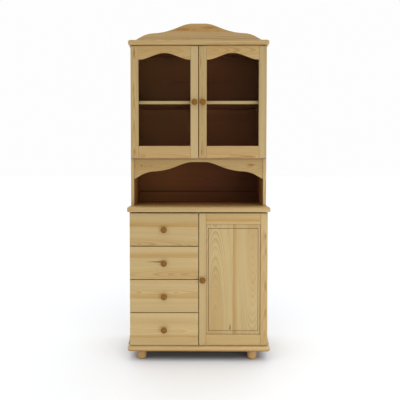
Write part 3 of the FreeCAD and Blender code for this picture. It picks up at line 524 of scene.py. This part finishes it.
# %% [markdown]
# The back of the niche shows best. Over its stain, painted shade deepens towards the right and painted light
# brightens the left, and a dark line of painted shade lies in the joint between the panel and the rail below
# it. All of that is only on the front face, so the back of the cabinet stays even.

# %% Stained backs
JOINT_SHADE, PAINTED_LIGHT_STAIN = colour(26, 14, 8), colour(140, 98, 52)


def niche_stain_and_shade(node):
    """A stain with painted shade that deepens to the right of the niche, painted light at the left and a dark line
    of painted shade at the joint.
    """
    joint = span("upper_back_rail")[1].z - span(node)[2].z - 3 * MM
    niche_top = span("upper_floor")[0].z - span(node)[2].z

    def dye(w, tinted, late, parts):
        # painted shade in the joint and, in the niche, deeper towards the right; painted light on the left of the
        # front face
        line = w.step(w.math("ABSOLUTE", w.less(parts[2], joint)), 2 * MM, 6 * MM, 0.75, 0.0)
        in_niche = w.step(parts[2], niche_top - JUST_INSIDE, niche_top, 1.0, 0.0)
        deeper_shade = w.times(w.step(parts[0], -0.30, 0.36, 0.05, 0.45), in_niche)
        front_face = w.step(parts[1], -THIN_EDGE, 0.0, 1.0, 0.0)
        painted_light = w.times(front_face, w.step(parts[0], -0.36, 0.05, 0.30, 0.0))
        stained = w.mix(painted_light, stain_and_shade(w, tinted, late, parts), PAINTED_LIGHT_STAIN)
        return w.mix(w.times(front_face, w.math("MAXIMUM", line, deeper_shade)), stained, JOINT_SHADE)
    return dye


BACKS = {"upper_back_panel": (3.3, niche_stain_and_shade("upper_back_panel")), "lower_back_panel": (7.7, stain_and_shade),
         "upper_back_rail": (5.9, niche_stain_and_shade("upper_back_rail"))}
for node, (seed, dye) in BACKS.items():
    board(node, "X", seed=seed, stave=0.16, heart=(0.0, 0.03), slant=0.015, dye=dye, gloss=0.6, coat=0.0,
          shine=0.08)
print("stained backs:", len(BACKS))

# %% [markdown]
# A joiner turns each drawer front so that its best figure shows, and each of the four comes from another
# board. A look gives the heart's place across and into the wood, and the band's place, half its width and
# its strength. The second front has a thread of pith that runs into its knob.

# %% Drawers
DARK_STREAK, RESIN = colour(86, 52, 24), colour(158, 108, 52)
PITH = (-0.125, 0.0, 6 * MM, 4.5 * MM, DARK_STREAK, 0.9)
FRONTS = {
    1: dict(seed=3.1, heart=(-0.086, 0.012), slant=0.06, ring=0.0052, contrast=0.5,
            band=(0.035, 0.021, 0.85), tint=(0.94, 0.93, 0.91)),
    2: dict(seed=8.6, heart=(-0.070, 0.010), slant=-0.06, ring=0.0052, contrast=0.5,
            band=(0.048, 0.021, 0.7), tint=(0.97, 0.96, 0.93), streaks=[PITH]),
    3: dict(seed=5.4, heart=(0.02, 0.03), slant=0.01, band=(0.003, 0.016, 0.65), tint=(1.03, 1.03, 1.03)),
    4: dict(seed=9.9, heart=(-0.01, 0.04), slant=0.012, band=(-0.037, 0.011, 0.75), tint=(1.08, 1.08, 1.08))}
for number, look in FRONTS.items():
    board(f"drawer_{number}_front", "X", **look)
    board(f"drawer_{number}_walls", "Y", deep="X", gloss=0.6)
    board(f"drawer_{number}_bottom", "X", deep="Z", gloss=0.65)
board("drawer_runners", "Y", deep="X", gloss=0.6)
print("drawers:", len(FRONTS))

# %% [markdown]
# The frame of the panelled door has a row of resin flecks down its right stile and a stripe of heartwood in
# its top rail. Each fleck is given by its start and end along the board, its place across it and its
# thickness.

# %% The panelled door's frame
RIGHT_STILE, TOP_RAIL_MIDDLE = 0.1795, 0.3435       # from the door's middle
FLECKS = [(0.220, 0.270, RIGHT_STILE, 6 * MM, RESIN), (0.125, 0.190, RIGHT_STILE, 4 * MM, RESIN),
          (-0.085, 0.015, RIGHT_STILE, 6 * MM, RESIN), (-0.222, -0.150, RIGHT_STILE, 5 * MM, RESIN)]
board("lower_door_stiles", "Z", seed=4.4, heart=(0.178, 0.016), slant=0.05, ring=0.006, contrast=0.5,
      streaks=FLECKS, tint=(0.97, 0.96, 0.95))
board("lower_door_rails", "X", seed=2.3, heart=(0.0, 0.05), slant=0.01, band=(TOP_RAIL_MIDDLE, 0.016, 0.75),
      tint=(0.95, 0.92, 0.84))
print("flecks on the stile:", len(FLECKS))

# %% [markdown]
# The stiles of the glazed doors run past the rails to the very bottom. End grain drinks the finish and turns
# brown, so their lower ends get a thin dark line, partly that real brown and partly painted shade, which
# also parts the doors from the apron below.

# %% The glazed doors' stiles and beads
UPPER_FLECKS = {
    "left": [(0.235, 0.318, -0.1715, 7 * MM, RESIN), (-0.31, -0.25, -0.172, 6 * MM, RESIN),
             (0.03, 0.12, -0.176, 4 * MM, RESIN)],
    "right": [(0.17, 0.28, -0.182, 4 * MM, RESIN), (-0.31, -0.255, -0.176, 6 * MM, RESIN)]}
for side, flecks in UPPER_FLECKS.items():
    stiles = f"upper_door_{side}_stiles"
    foot = span(stiles)[3].z / 2
    # a glaze on the lower ends: the brown of end grain and painted shade
    board(stiles, "Z", heart=(-0.172, 0.014), slant=0.02, streaks=flecks, tint=(0.91, 0.92, 0.93),
          dye=towards(("Z", -1.0, foot - 3 * MM, foot - 1 * MM)))
    board(f"upper_door_{side}_beads", "Z", heart=(0.0, 0.05))
print("a glazed door is", round(span("upper_door_left_stiles")[3].z, 3), "m high")

# %% [markdown]
# The door's panel is glued from two staves. Its middle is raised into a field: a sloping bevel rises from
# the frame and ends in a fine quirk, where lacquer gathers and draws a thin brown line. The mesh is a row
# of rectangles, one inside the other, each with its own depth, joined ring by ring.

# %% Raised and fielded panel
IN_GROOVE, BEVEL_SIDE, BEVEL_END = 7.5 * MM, 14 * MM, 24 * MM
FIELD_RISE = 6.5 * MM       # from the front of the tongue to the field
QUIRK = [(-1.5, 4.9), (-0.8, 3.9), (-0.3, 4.1), (0.0, 5.8), (0.3, 6.3), (1.0, 6.5)]     # mm past the bevel, up
RINGS = [(-IN_GROOVE, -IN_GROOVE, 0.0), (0.5 * MM, 0.5 * MM, 0.0)]      # inset at the sides, at the ends, rise
RINGS += [(BEVEL_SIDE + past * MM, BEVEL_END + past * MM, rise * MM) for past, rise in QUIRK]


def piece_from(made, name, corner, slot, body, *stands_for):
    """Turn a bmesh into a piece; edges sharper than corner, in degrees, stay crisp."""
    mesh = bpy.data.meshes.new(name)
    made.to_mesh(mesh)
    made.free()
    smooth_with_corners(mesh, corner)
    return new_piece(name, mesh, slot, body, *stands_for)


def raised_panel():
    """The panel as nested rectangles, from its back over tongue and bevel to the field."""
    low, high = span("lower_door_panel")[:2]
    made = bmesh.new()
    loops = []
    for side_in, end_in, rise in RINGS:
        x0, x1 = low.x + IN_GROOVE + side_in, high.x - IN_GROOVE - side_in
        z0, z1 = low.z + IN_GROOVE + end_in, high.z - IN_GROOVE - end_in
        front = low.y + FIELD_RISE - rise
        loops.append([made.verts.new((x, front, z)) for x, z in ((x0, z0), (x1, z0), (x1, z1), (x0, z1))])
    back = [made.verts.new((vert.co.x, high.y, vert.co.z)) for vert in loops[0]]
    for outer, inner in zip([back] + loops[:-1], loops):
        for k in range(4):
            made.faces.new((outer[k], outer[(k + 1) % 4], inner[(k + 1) % 4], inner[k]))
    made.faces.new(loops[-1])
    made.faces.new(list(reversed(back)))
    bmesh.ops.recalc_face_normals(made, faces=made.faces)
    return piece_from(made, "raised_panel", 25, "pine_panel", "lower_door", "lower_door_panel")


panel = raised_panel()
print("panel, mm:", [round(v / MM) for v in span("lower_door_panel")[3]])

# %% [markdown]
# The brown line is drawn by distance from the field's edge, and a fainter painted shade follows the frame,
# where the panel's bevel goes under it. The two staves lean away from each other, as two boards from one
# trunk do when they are opened like a book.

# %% The panel's line and figure
LACQUER_AND_SHADE, LINE_OUTSIDE = colour(112, 70, 32), 0.0006


def quirk_line_and_shade(w, tinted, late, parts):
    """The brown line of lacquer round the field, and painted shade beside the frame."""
    size = span("lower_door_panel")[3]
    half_x, half_z = size.x / 2 - IN_GROOVE - BEVEL_SIDE, size.z / 2 - IN_GROOVE - BEVEL_END
    out_x = w.less(w.math("ABSOLUTE", parts[0]), half_x)
    out_z = w.less(w.math("ABSOLUTE", parts[2]), half_z)
    gap = w.math("ABSOLUTE", w.add(w.math("MAXIMUM", out_x, out_z), -LINE_OUTSIDE))
    line = w.step(gap, 0.0008, 0.0030, 0.7, 0.0)
    to_frame = w.math("MAXIMUM", w.less(out_x, BEVEL_SIDE), w.less(out_z, BEVEL_END))
    # painted shade where the bevel goes under the frame
    shade_beside_frame = w.step(to_frame, -0.0035, -0.0005, 0.0, 0.55)
    return w.mix(w.math("MAXIMUM", line, shade_beside_frame), tinted, LACQUER_AND_SHADE)


STAVE_JOINT = -0.0035       # from the panel's middle
cathedral = dict(ring=0.0058, contrast=0.42)
left_stave = dict(seed=6.2, heart=(-0.100, 0.024), slant=0.12, **cathedral)
right_stave = dict(seed=1.9, heart=(0.108, 0.020), slant=-0.12, band=(0.012, 0.0155, 0.8), **cathedral)
dark_mark = (-0.290, -0.245, -0.018, 0.0050, DARK_STREAK, 0.3)
finish(panel, pine("pine_raised_panel", "Z", span("lower_door_panel")[2], staves=[(STAVE_JOINT, right_stave)],
                   streaks=[dark_mark], tint=(0.94, 0.945, 0.935), dye=quirk_line_and_shade, **left_stave))
print("staves meet", STAVE_JOINT / MM, "mm from the middle")

# %% [markdown]
# The crest, the apron and the arched rails are sawn from flat boards along a wave and then rounded over by
# hand. The wave is one smooth curve through a few knots, each with its place and its slope.

# %% A smooth wave through a few knots
def hermite(first, second, t):
    """A point on the smooth curve between two knots, each (place, height, slope)."""
    span_x = second[0] - first[0]
    a, b = 2 * t ** 3 - 3 * t ** 2 + 1, t ** 3 - 2 * t ** 2 + t
    c, d = 3 * t ** 2 - 2 * t ** 3, t ** 3 - t ** 2
    height = a * first[1] + b * span_x * first[2] + c * second[1] + d * span_x * second[2]
    return first[0] + t * span_x, height


def half_wave(knots, steps=14):
    """Points of half a wave, from the middle to the end, as shares of its length and drop."""
    points = [knots[0][:2]]
    for first, second in zip(knots[:-1], knots[1:]):
        points += [hermite(first, second, step / steps) for step in range(1, steps + 1)]
    return points


CREST_WAVE = ((0, 0, 0), (0.1, 0, 0), (0.345, 0.258, 1.52), (0.675, 0.543, 0.2), (0.875, 0.73, 2.04), (1, 1, 2.26))
print("points along half the crest:", len(half_wave(CREST_WAVE)))

# %% [markdown]
# A sawn board is that outline given thickness. A bevel of three steps rounds the sawn front edge and leaves
# the straight edge and the ends square, because they meet other boards.

# %% A sawn board with a rounded edge
SAWN_ROUND, SAME = 2.2 * MM, 1e-6       # metres; ends closer than SAME count as one place


def level_at(edge, axis, place=None):
    """Whether both ends of an edge are at one place along an axis (0, 1 or 2), or at the given place."""
    first, second = (vert.co[axis] for vert in edge.verts)
    return abs(first - second) < SAME and (place is None or abs(first - place) < SAME)


def round_over(made, edges, radius):
    """Round edges with a bevel of three steps."""
    bmesh.ops.bevel(made, geom=edges, offset=radius, segments=3, profile=0.5, affect="EDGES", clamp_overlap=True)


def waved_board(name, body, node, knots, level, drop, closing, thickness=None):
    """A board with a waved edge whose middle is at a level, closed by a straight edge at another."""
    low, high, _, size = span(node)
    half, centre = (high.x - low.x) / 2, (high.x + low.x) / 2
    right = [(centre + u * half, level - v * drop) for u, v in half_wave(knots)]
    left = [(2 * centre - x, z) for x, z in reversed(right[1:])]
    made = bmesh.new()
    outline = left + right + [(high.x, closing), (low.x, closing)]
    face = made.faces.new([made.verts.new((x, low.y, z)) for x, z in outline])
    moved = [part for part in bmesh.ops.extrude_face_region(made, geom=[face])["geom"]
             if isinstance(part, bmesh.types.BMVert)]
    bmesh.ops.translate(made, vec=(0, thickness or size.y, 0), verts=moved)
    bmesh.ops.recalc_face_normals(made, faces=made.faces)
    round_over(made, [edge for edge in made.edges if level_at(edge, 1, low.y) and not level_at(edge, 0)
                      and not level_at(edge, 2, closing)], SAWN_ROUND)
    return piece_from(made, name, 40, "pine", body, node)


# %% [markdown]
# One wave serves the crest and the apron under the doors, as a joiner would use one template for both. The
# crest has a flame of heartwood in its hump.

# %% Crest and apron
WAVE_DROP = 99 * MM
low, high, middle = span("crest")[:3]
crest = waved_board("crest_board", "cabinet", "crest", CREST_WAVE, high.z, WAVE_DROP, low.z)
hump = dict(seed=12.2, heart=(0.012, 0.010), slant=0.10, ring=0.0065, contrast=0.6, band=(0.028, 0.03, 0.5))
finish(crest, pine("pine_crest", "X", (0, middle.y, high.z - 0.045), seed=2.2, heart=(-0.05, 0.05), slant=0.01,
                   staves=[(0.0, hump)], tint=(0.88, 0.82, 0.74),
                   streaks=[(-0.14, -0.04, 0.012, 0.009, RESIN), (0.0, 0.12, 0.022, 0.009, RESIN)]))
apron_high, apron_middle = span("apron")[1:3]
APRON_MIDDLE, APRON_GRAIN = 19 * MM, apron_high.z - 35 * MM
under_doors = span("upper_door_left_stiles")[0].z - APRON_GRAIN
apron = waved_board("apron_board", "cabinet", "apron", CREST_WAVE, apron_high.z - APRON_MIDDLE, WAVE_DROP,
                    apron_high.z)
# painted shade: a glaze draws a thin dark line on the apron just under the doors
finish(apron, pine("pine_apron", "X", (0, apron_middle.y, APRON_GRAIN), seed=7.7, heart=(-0.01, 0.02), slant=0.03,
                   dye=towards(("Z", 1.0, under_doors - 0.008, under_doors - 0.003)),
                   tint=(0.82, 0.76, 0.65), knot=(-0.328, -0.005, 0.003),
                   streaks=[(0.272, 0.334, 0.0, 0.011, RESIN)]))
print("crest", [round(v, 3) for v in span("crest")[3]])

# %% [markdown]
# Knobs and feet are turned on a lathe, so they are one profile spun about an axis: each point of the profile
# becomes a ring of points, and neighbouring rings are joined with faces.

# %% Turned pieces
AROUND = 56                 # points round a ring


def turned(name, body, profile, centre, facing, *stands_for):
    """Spin a profile of (distance along the axis, radius) about an axis through centre."""
    axis = Vector(facing).normalized()
    side = axis.orthogonal().normalized()
    other = axis.cross(side)
    made = bmesh.new()
    rings = []
    for along, radius in profile:
        ring = []
        for k in range(AROUND if radius > 0 else 1):
            angle = 2 * math.pi * k / AROUND
            spoke = side * math.cos(angle) + other * math.sin(angle)
            ring.append(made.verts.new(centre + axis * along + spoke * radius))
        rings.append(ring)
    for first, second in zip(rings[:-1], rings[1:]):
        for k in range(AROUND):
            corners = [first[k % len(first)], first[(k + 1) % len(first)],
                       second[(k + 1) % len(second)], second[k % len(second)]]
            made.faces.new(list(dict.fromkeys(corners)))
    bmesh.ops.recalc_face_normals(made, faces=made.faces)
    return piece_from(made, name, 50, "turned_pine", body, *stands_for)


def arc(centre, radius, start, stop, steps=8):
    """Points of an arc in a profile; angles in degrees, 0 points outwards and 90 along the axis."""
    points = []
    for k in range(steps + 1):
        angle = math.radians(start + (stop - start) * k / steps)
        points.append((centre[0] + radius * math.sin(angle), centre[1] + radius * math.cos(angle)))
    return points


# %% [markdown]
# A knob's profile starts at the tenon inside the wood, goes over a foot and a slim waist, and ends in a
# round rim and a domed face, with the small quirk that a turner leaves under the head. The knobs are
# browner than the boards, because turned end grain soaks up more of the finish.

# %% Knobs
KNOB_FOOT = [(-11, 0), (-11, 4.9), (0, 4.9), (0, 10.4), (0.8, 10.4), (1.6, 9.6), (3.2, 8.3), (5.5, 7.5), (8, 7.4),
             (10, 8.2), (11.6, 10.4), (12.7, 13.4)]             # mm along the axis, mm of radius
KNOB_FACE = [(21.8, 14.0), (24.0, 11.2), (25.9, 7.9), (27.2, 4.2), (27.8, 1.5), (27.9, 0)]
KNOB_REACH = 28 * MM
knob_profile = [(along * MM, radius * MM)
                for along, radius in KNOB_FOOT + arc((16.6, 13.6), 3.8, -75, 55) + KNOB_FACE]
bodies = [f"drawer_{n}" for n in range(1, 5)] + ["lower_door", "upper_door_left", "upper_door_right"]
for body in bodies:
    node = body + "_knob"
    low, _, middle, _ = span(node)
    foot = Vector((middle.x, low.y + KNOB_REACH, middle.z))
    piece = turned(node + "_turned", body, knob_profile, foot, (0, -1, 0), node)
    finish(piece, pine("turned_" + node, "Y", foot, deep="Z", seed=sum(map(ord, node)) * 0.11, heart=(0.05, 0.02),
                       ring=0.0022, tint=(0.46, 0.275, 0.05), gloss=0.42, coat=0.0, shine=0.18))
print("turned knobs:", len(bodies))

# %% [markdown]
# The feet are flattened balls, called buns. Each has a narrow collar on top and a tenon that goes up into
# the base board.

# %% Turned bun feet
FOOT_RADIUS, FOOT_ROUND, FOOT_COLLAR, TENON_RADIUS, TENON = 27 * MM, 16 * MM, 4 * MM, 8.9 * MM, 15.5 * MM


def foot_profile(height):
    """A bun foot from the floor up to its tenon."""
    neck = FOOT_RADIUS - FOOT_ROUND
    profile = [(0.0, 0), (0.0, neck - 1 * MM)]
    profile += arc((FOOT_ROUND, neck), FOOT_ROUND, -90, 0)
    profile += arc((height - FOOT_COLLAR - FOOT_ROUND, neck), FOOT_ROUND, 0, 90)
    return profile + [(height, neck), (height, TENON_RADIUS), (height + TENON, TENON_RADIUS), (height + TENON, 0)]


base_low = span("base_board")[0]
for row in ("front", "back"):
    low, high, middle, _ = span(f"feet_{row}")
    for side, x in (("left", low.x + FOOT_RADIUS), ("right", high.x - FOOT_RADIUS)):
        name, centre = f"foot_{row}_{side}", Vector((x, middle.y, 0))
        foot = turned(name, "cabinet", foot_profile(base_low.z), centre, (0, 0, 1), f"feet_{row}")
        finish(foot, pine("turned_" + name, "Z", (x, middle.y, 0.03), deep="X", seed=x * 9 + len(row),
                          heart=(0.04, 0.03), ring=0.003, tint=(0.90, 0.76, 0.56), gloss=0.36))
print("the feet lift the base by", round(base_low.z / MM, 1), "mm")

# %% [markdown]
# The arched rails carry the same rounded edge as the crest. Each is one board, cut under a bell-shaped
# curve, so only the outline differs. The rail below the glass stays straight.

# %% Rails of the glazed doors
ARCH_WAVE = ((0, 0, 0), (1, 1, 0))
ARCH_RISE, TOP_RAIL, BOTTOM_RAIL, STRAIGHT_ROUND = 39 * MM, 77.5 * MM, 71 * MM, 2.5 * MM


def straight_board(name, body, low, high, *stands_for):
    """A board whose long front edges are rounded."""
    made = bmesh.new()
    bmesh.ops.create_cube(made, size=1.0)
    for vert in made.verts:
        vert.co = Vector(((low, high)[v > 0][i] for i, v in enumerate(vert.co)))
    round_over(made, [edge for edge in made.edges if level_at(edge, 1, low[1]) and level_at(edge, 2)],
               STRAIGHT_ROUND)
    return piece_from(made, name, 40, "pine", body, *stands_for)


for side in ("left", "right"):
    node, body = f"upper_door_{side}_rails", f"upper_door_{side}"
    low, high, middle, _ = span(node)
    glass_front = span(f"upper_door_{side}_glass")[0].y
    top = waved_board(f"arched_rail_{side}", body, node, ARCH_WAVE, high.z - TOP_RAIL + ARCH_RISE, ARCH_RISE,
                      high.z, thickness=glass_front - low.y)
    finish(top, pine(f"pine_arched_rail_{side}", "X", (middle.x, middle.y, high.z - 0.04), seed=3.3 + len(side),
                     heart=(0.012, 0.012), slant=0.10, ring=0.0070, contrast=0.6, tint=(0.92, 0.87, 0.79)))
    bottom = straight_board(f"bottom_rail_{side}", body, (low.x, low.y, low.z),
                            (high.x, glass_front, low.z + BOTTOM_RAIL), node)
    # painted shade: a glaze darkens the rail's lowest few millimetres
    finish(bottom, pine(f"pine_bottom_rail_{side}", "X", (middle.x, middle.y, low.z + 0.03), seed=9.1 + len(side),
                        heart=(-0.02, 0.03), slant=0.015, tint=(0.87, 0.80, 0.70),
                        dye=towards(("Z", -1.0, 0.027, 0.029))))
    print(side, "arch rises", round(ARCH_RISE / MM), "mm")

# %% [markdown]
# Window glass is thin, so almost all light goes straight through and only a little is mirrored, more so at
# a grazing angle. A clear shader mixed with a mirror by the Fresnel rule does that and keeps the shelf
# behind it free of noise.

# %% Glass
CLEAR_GLASS, GLASS_IOR = (0.96, 0.975, 0.965, 1.0), 1.09


def window_glass():
    """Clear glass with a mirror that grows at a grazing angle; a slight haze moves the mirror's blur."""
    material, shader, w = shader_of("window_glass")
    w.tree.nodes.remove(shader)
    haze = w.noise(w.node("ShaderNodeTexCoord").outputs["Object"], 3.0, 2.0)
    clear = w.node("ShaderNodeBsdfTransparent", Color=CLEAR_GLASS)
    mirror = w.node("ShaderNodeBsdfGlossy", Roughness=w.step(haze, 0.3, 0.7, 0.01, 0.03))
    share = w.node("ShaderNodeFresnel", IOR=GLASS_IOR).outputs[0]
    mixed = w.node("ShaderNodeMixShader")
    for socket, value in zip(mixed.inputs, (share, clear.outputs[0], mirror.outputs[0])):
        w.put(socket, value)
    w.put(w.tree.nodes["Material Output"].inputs["Surface"], mixed.outputs[0])
    return material


glass = window_glass()
for side in ("left", "right"):
    finish(nodes[f"upper_door_{side}_glass"], glass)
print("glass is", round(span("upper_door_left_glass")[3].y / MM, 1), "mm thick")

# %% [markdown]
# The small metal pieces are plain: zinc-plated steel pins and brackets, and brass bushes in the doors.
# Worn metal is never even, so a fine noise moves its roughness.

# %% Steel and brass
def metal(name, tint, rough):
    """Worn metal; the tint falls by a fifth where it is worn."""
    material, shader, w = shader_of(name)
    place = w.node("ShaderNodeTexCoord").outputs["Object"]
    worn = w.noise(place, 260.0, 3.0)
    w.put(shader.inputs["Base Color"], w.mix(worn, tint, tuple(0.8 * c for c in tint[:3]) + (1.0,)))
    w.put(shader.inputs["Roughness"], w.step(worn, 0.3, 0.7, rough - 0.06, rough + 0.08))
    shader.inputs["Metallic"].default_value = 1.0
    return material


steel, brass = metal("zinc_steel", colour(178, 178, 174), 0.34), metal("brass", colour(202, 168, 96), 0.28)
for node in ("pivot_pins", "pivot_brackets", "shelf_pins"):
    finish(nodes[node], steel)
for node in ("lower_door_bushes", "upper_door_left_bushes", "upper_door_right_bushes"):
    finish(nodes[node], brass)
board("carcass_dowels", "Z", tint=(0.9, 0.85, 0.75), gloss=0.6)
print("metals:", steel.name, "and", brass.name)

# %% [markdown]
# The cabinet stands in a white studio: a pale floor without an edge, and a bright dome of light that is
# strongest overhead, so that the floor is lit well and throws light up at the fronts. One large soft lamp
# stands low at the front right, so that knobs shade themselves on the left and above.

# %% Studio
FLOOR_PALE, FLOOR_LIGHT = (0.886, 0.900, 0.918, 1.0), (0.896, 0.910, 0.928, 1.0)
FLOOR_SHADE = (0.04, 0.045, 0.05, 1.0)      # a patch painted on the floor, deeper than the light alone gives


def studio():
    """A floor without an edge, with a dark patch painted under the cabinet."""
    bpy.ops.mesh.primitive_plane_add(size=60, location=(0, 0, 0))
    floor = bpy.context.object
    floor.name = "studio_floor"
    material, shader, w = shader_of("studio_floor")
    place = w.node("ShaderNodeTexCoord").outputs["Object"]
    pale = w.ramp(w.noise(place, 0.6), (0.3, FLOOR_PALE), (0.7, FLOOR_LIGHT))
    parts = w.node("ShaderNodeSeparateXYZ", Vector=place).outputs
    beside = w.step(w.math("ABSOLUTE", parts[0]), 0.30, 0.40, 1.0, 0.0)
    behind = w.times(w.step(parts[1], -0.17, -0.10), w.step(parts[1], 0.10, 0.18, 1.0, 0.0))
    shade = w.times(w.times(beside, behind), 0.72)
    w.put(shader.inputs["Base Color"], w.mix(shade, pale, FLOOR_SHADE))
    shader.inputs["Roughness"].default_value = 0.9
    shader.inputs["Specular IOR Level"].default_value = 0.05
    finish(floor, material)


HORIZON, ZENITH, BACKDROP = 0.50, 1.50, 0.985


def dome():
    """Light that grows from the horizon to the zenith; the eye itself sees an even white backdrop."""
    world = bpy.data.worlds.new("studio")
    bpy.context.scene.world = world
    world.use_nodes = True
    w = Wiring(world.node_tree)
    up = w.node("ShaderNodeSeparateXYZ", Vector=w.node("ShaderNodeTexCoord").outputs["Generated"]).outputs[2]
    light = w.add(HORIZON, w.times(w.math("MAXIMUM", up, 0.0), ZENITH - HORIZON))
    seen = w.node("ShaderNodeLightPath").outputs["Is Camera Ray"]
    strength = w.add(light, w.times(seen, w.less(BACKDROP, light)))
    w.put(world.node_tree.nodes["Background"].inputs["Strength"], strength)
    world.node_tree.nodes["Background"].inputs["Color"].default_value = (1.0, 1.0, 1.0, 1.0)


def softbox(name, place, target, size, power):
    """A square area lamp that looks at a point."""
    lamp = bpy.data.lights.new(name, "AREA")
    lamp.size, lamp.energy = size, power
    holder = bpy.data.objects.new(name, lamp)
    bpy.context.scene.collection.objects.link(holder)
    holder.location = place
    holder.rotation_euler = (Vector(target) - Vector(place)).to_track_quat("-Z", "Y").to_euler()


studio()
dome()
softbox("key_front_right", (1.35, -1.75, 0.45), (0, 0, 0.5), 0.8, 9)
print("dome from", HORIZON, "at the horizon to", ZENITH, "overhead")

# %% [markdown]
# The camera looks at the front from a little above its middle, slightly left of it. Tilting a camera down
# makes upright boards lean together, so it is tilted only a little, and the lens is shifted for the rest.

# %% Camera
TILT_DOWN, TURN = 1.659, 0.374      # degrees


def camera():
    """A camera with a normal lens, shifted downwards."""
    data = bpy.data.cameras.new("camera")
    data.sensor_width, data.lens = 36.0, 36.0
    data.shift_x, data.shift_y = 0.01875, -0.0625
    holder = bpy.data.objects.new("camera", data)
    bpy.context.scene.collection.objects.link(holder)
    holder.location = (-0.0197, -2.3875, 1.1143)
    holder.rotation_euler = (math.radians(90 - TILT_DOWN), 0, math.radians(TURN))
    bpy.context.scene.camera = holder


camera()
bpy.context.scene.view_settings.view_transform = "Standard"
bpy.context.scene.view_settings.look = "None"
print("camera at", [round(v, 2) for v in bpy.context.scene.camera.location])
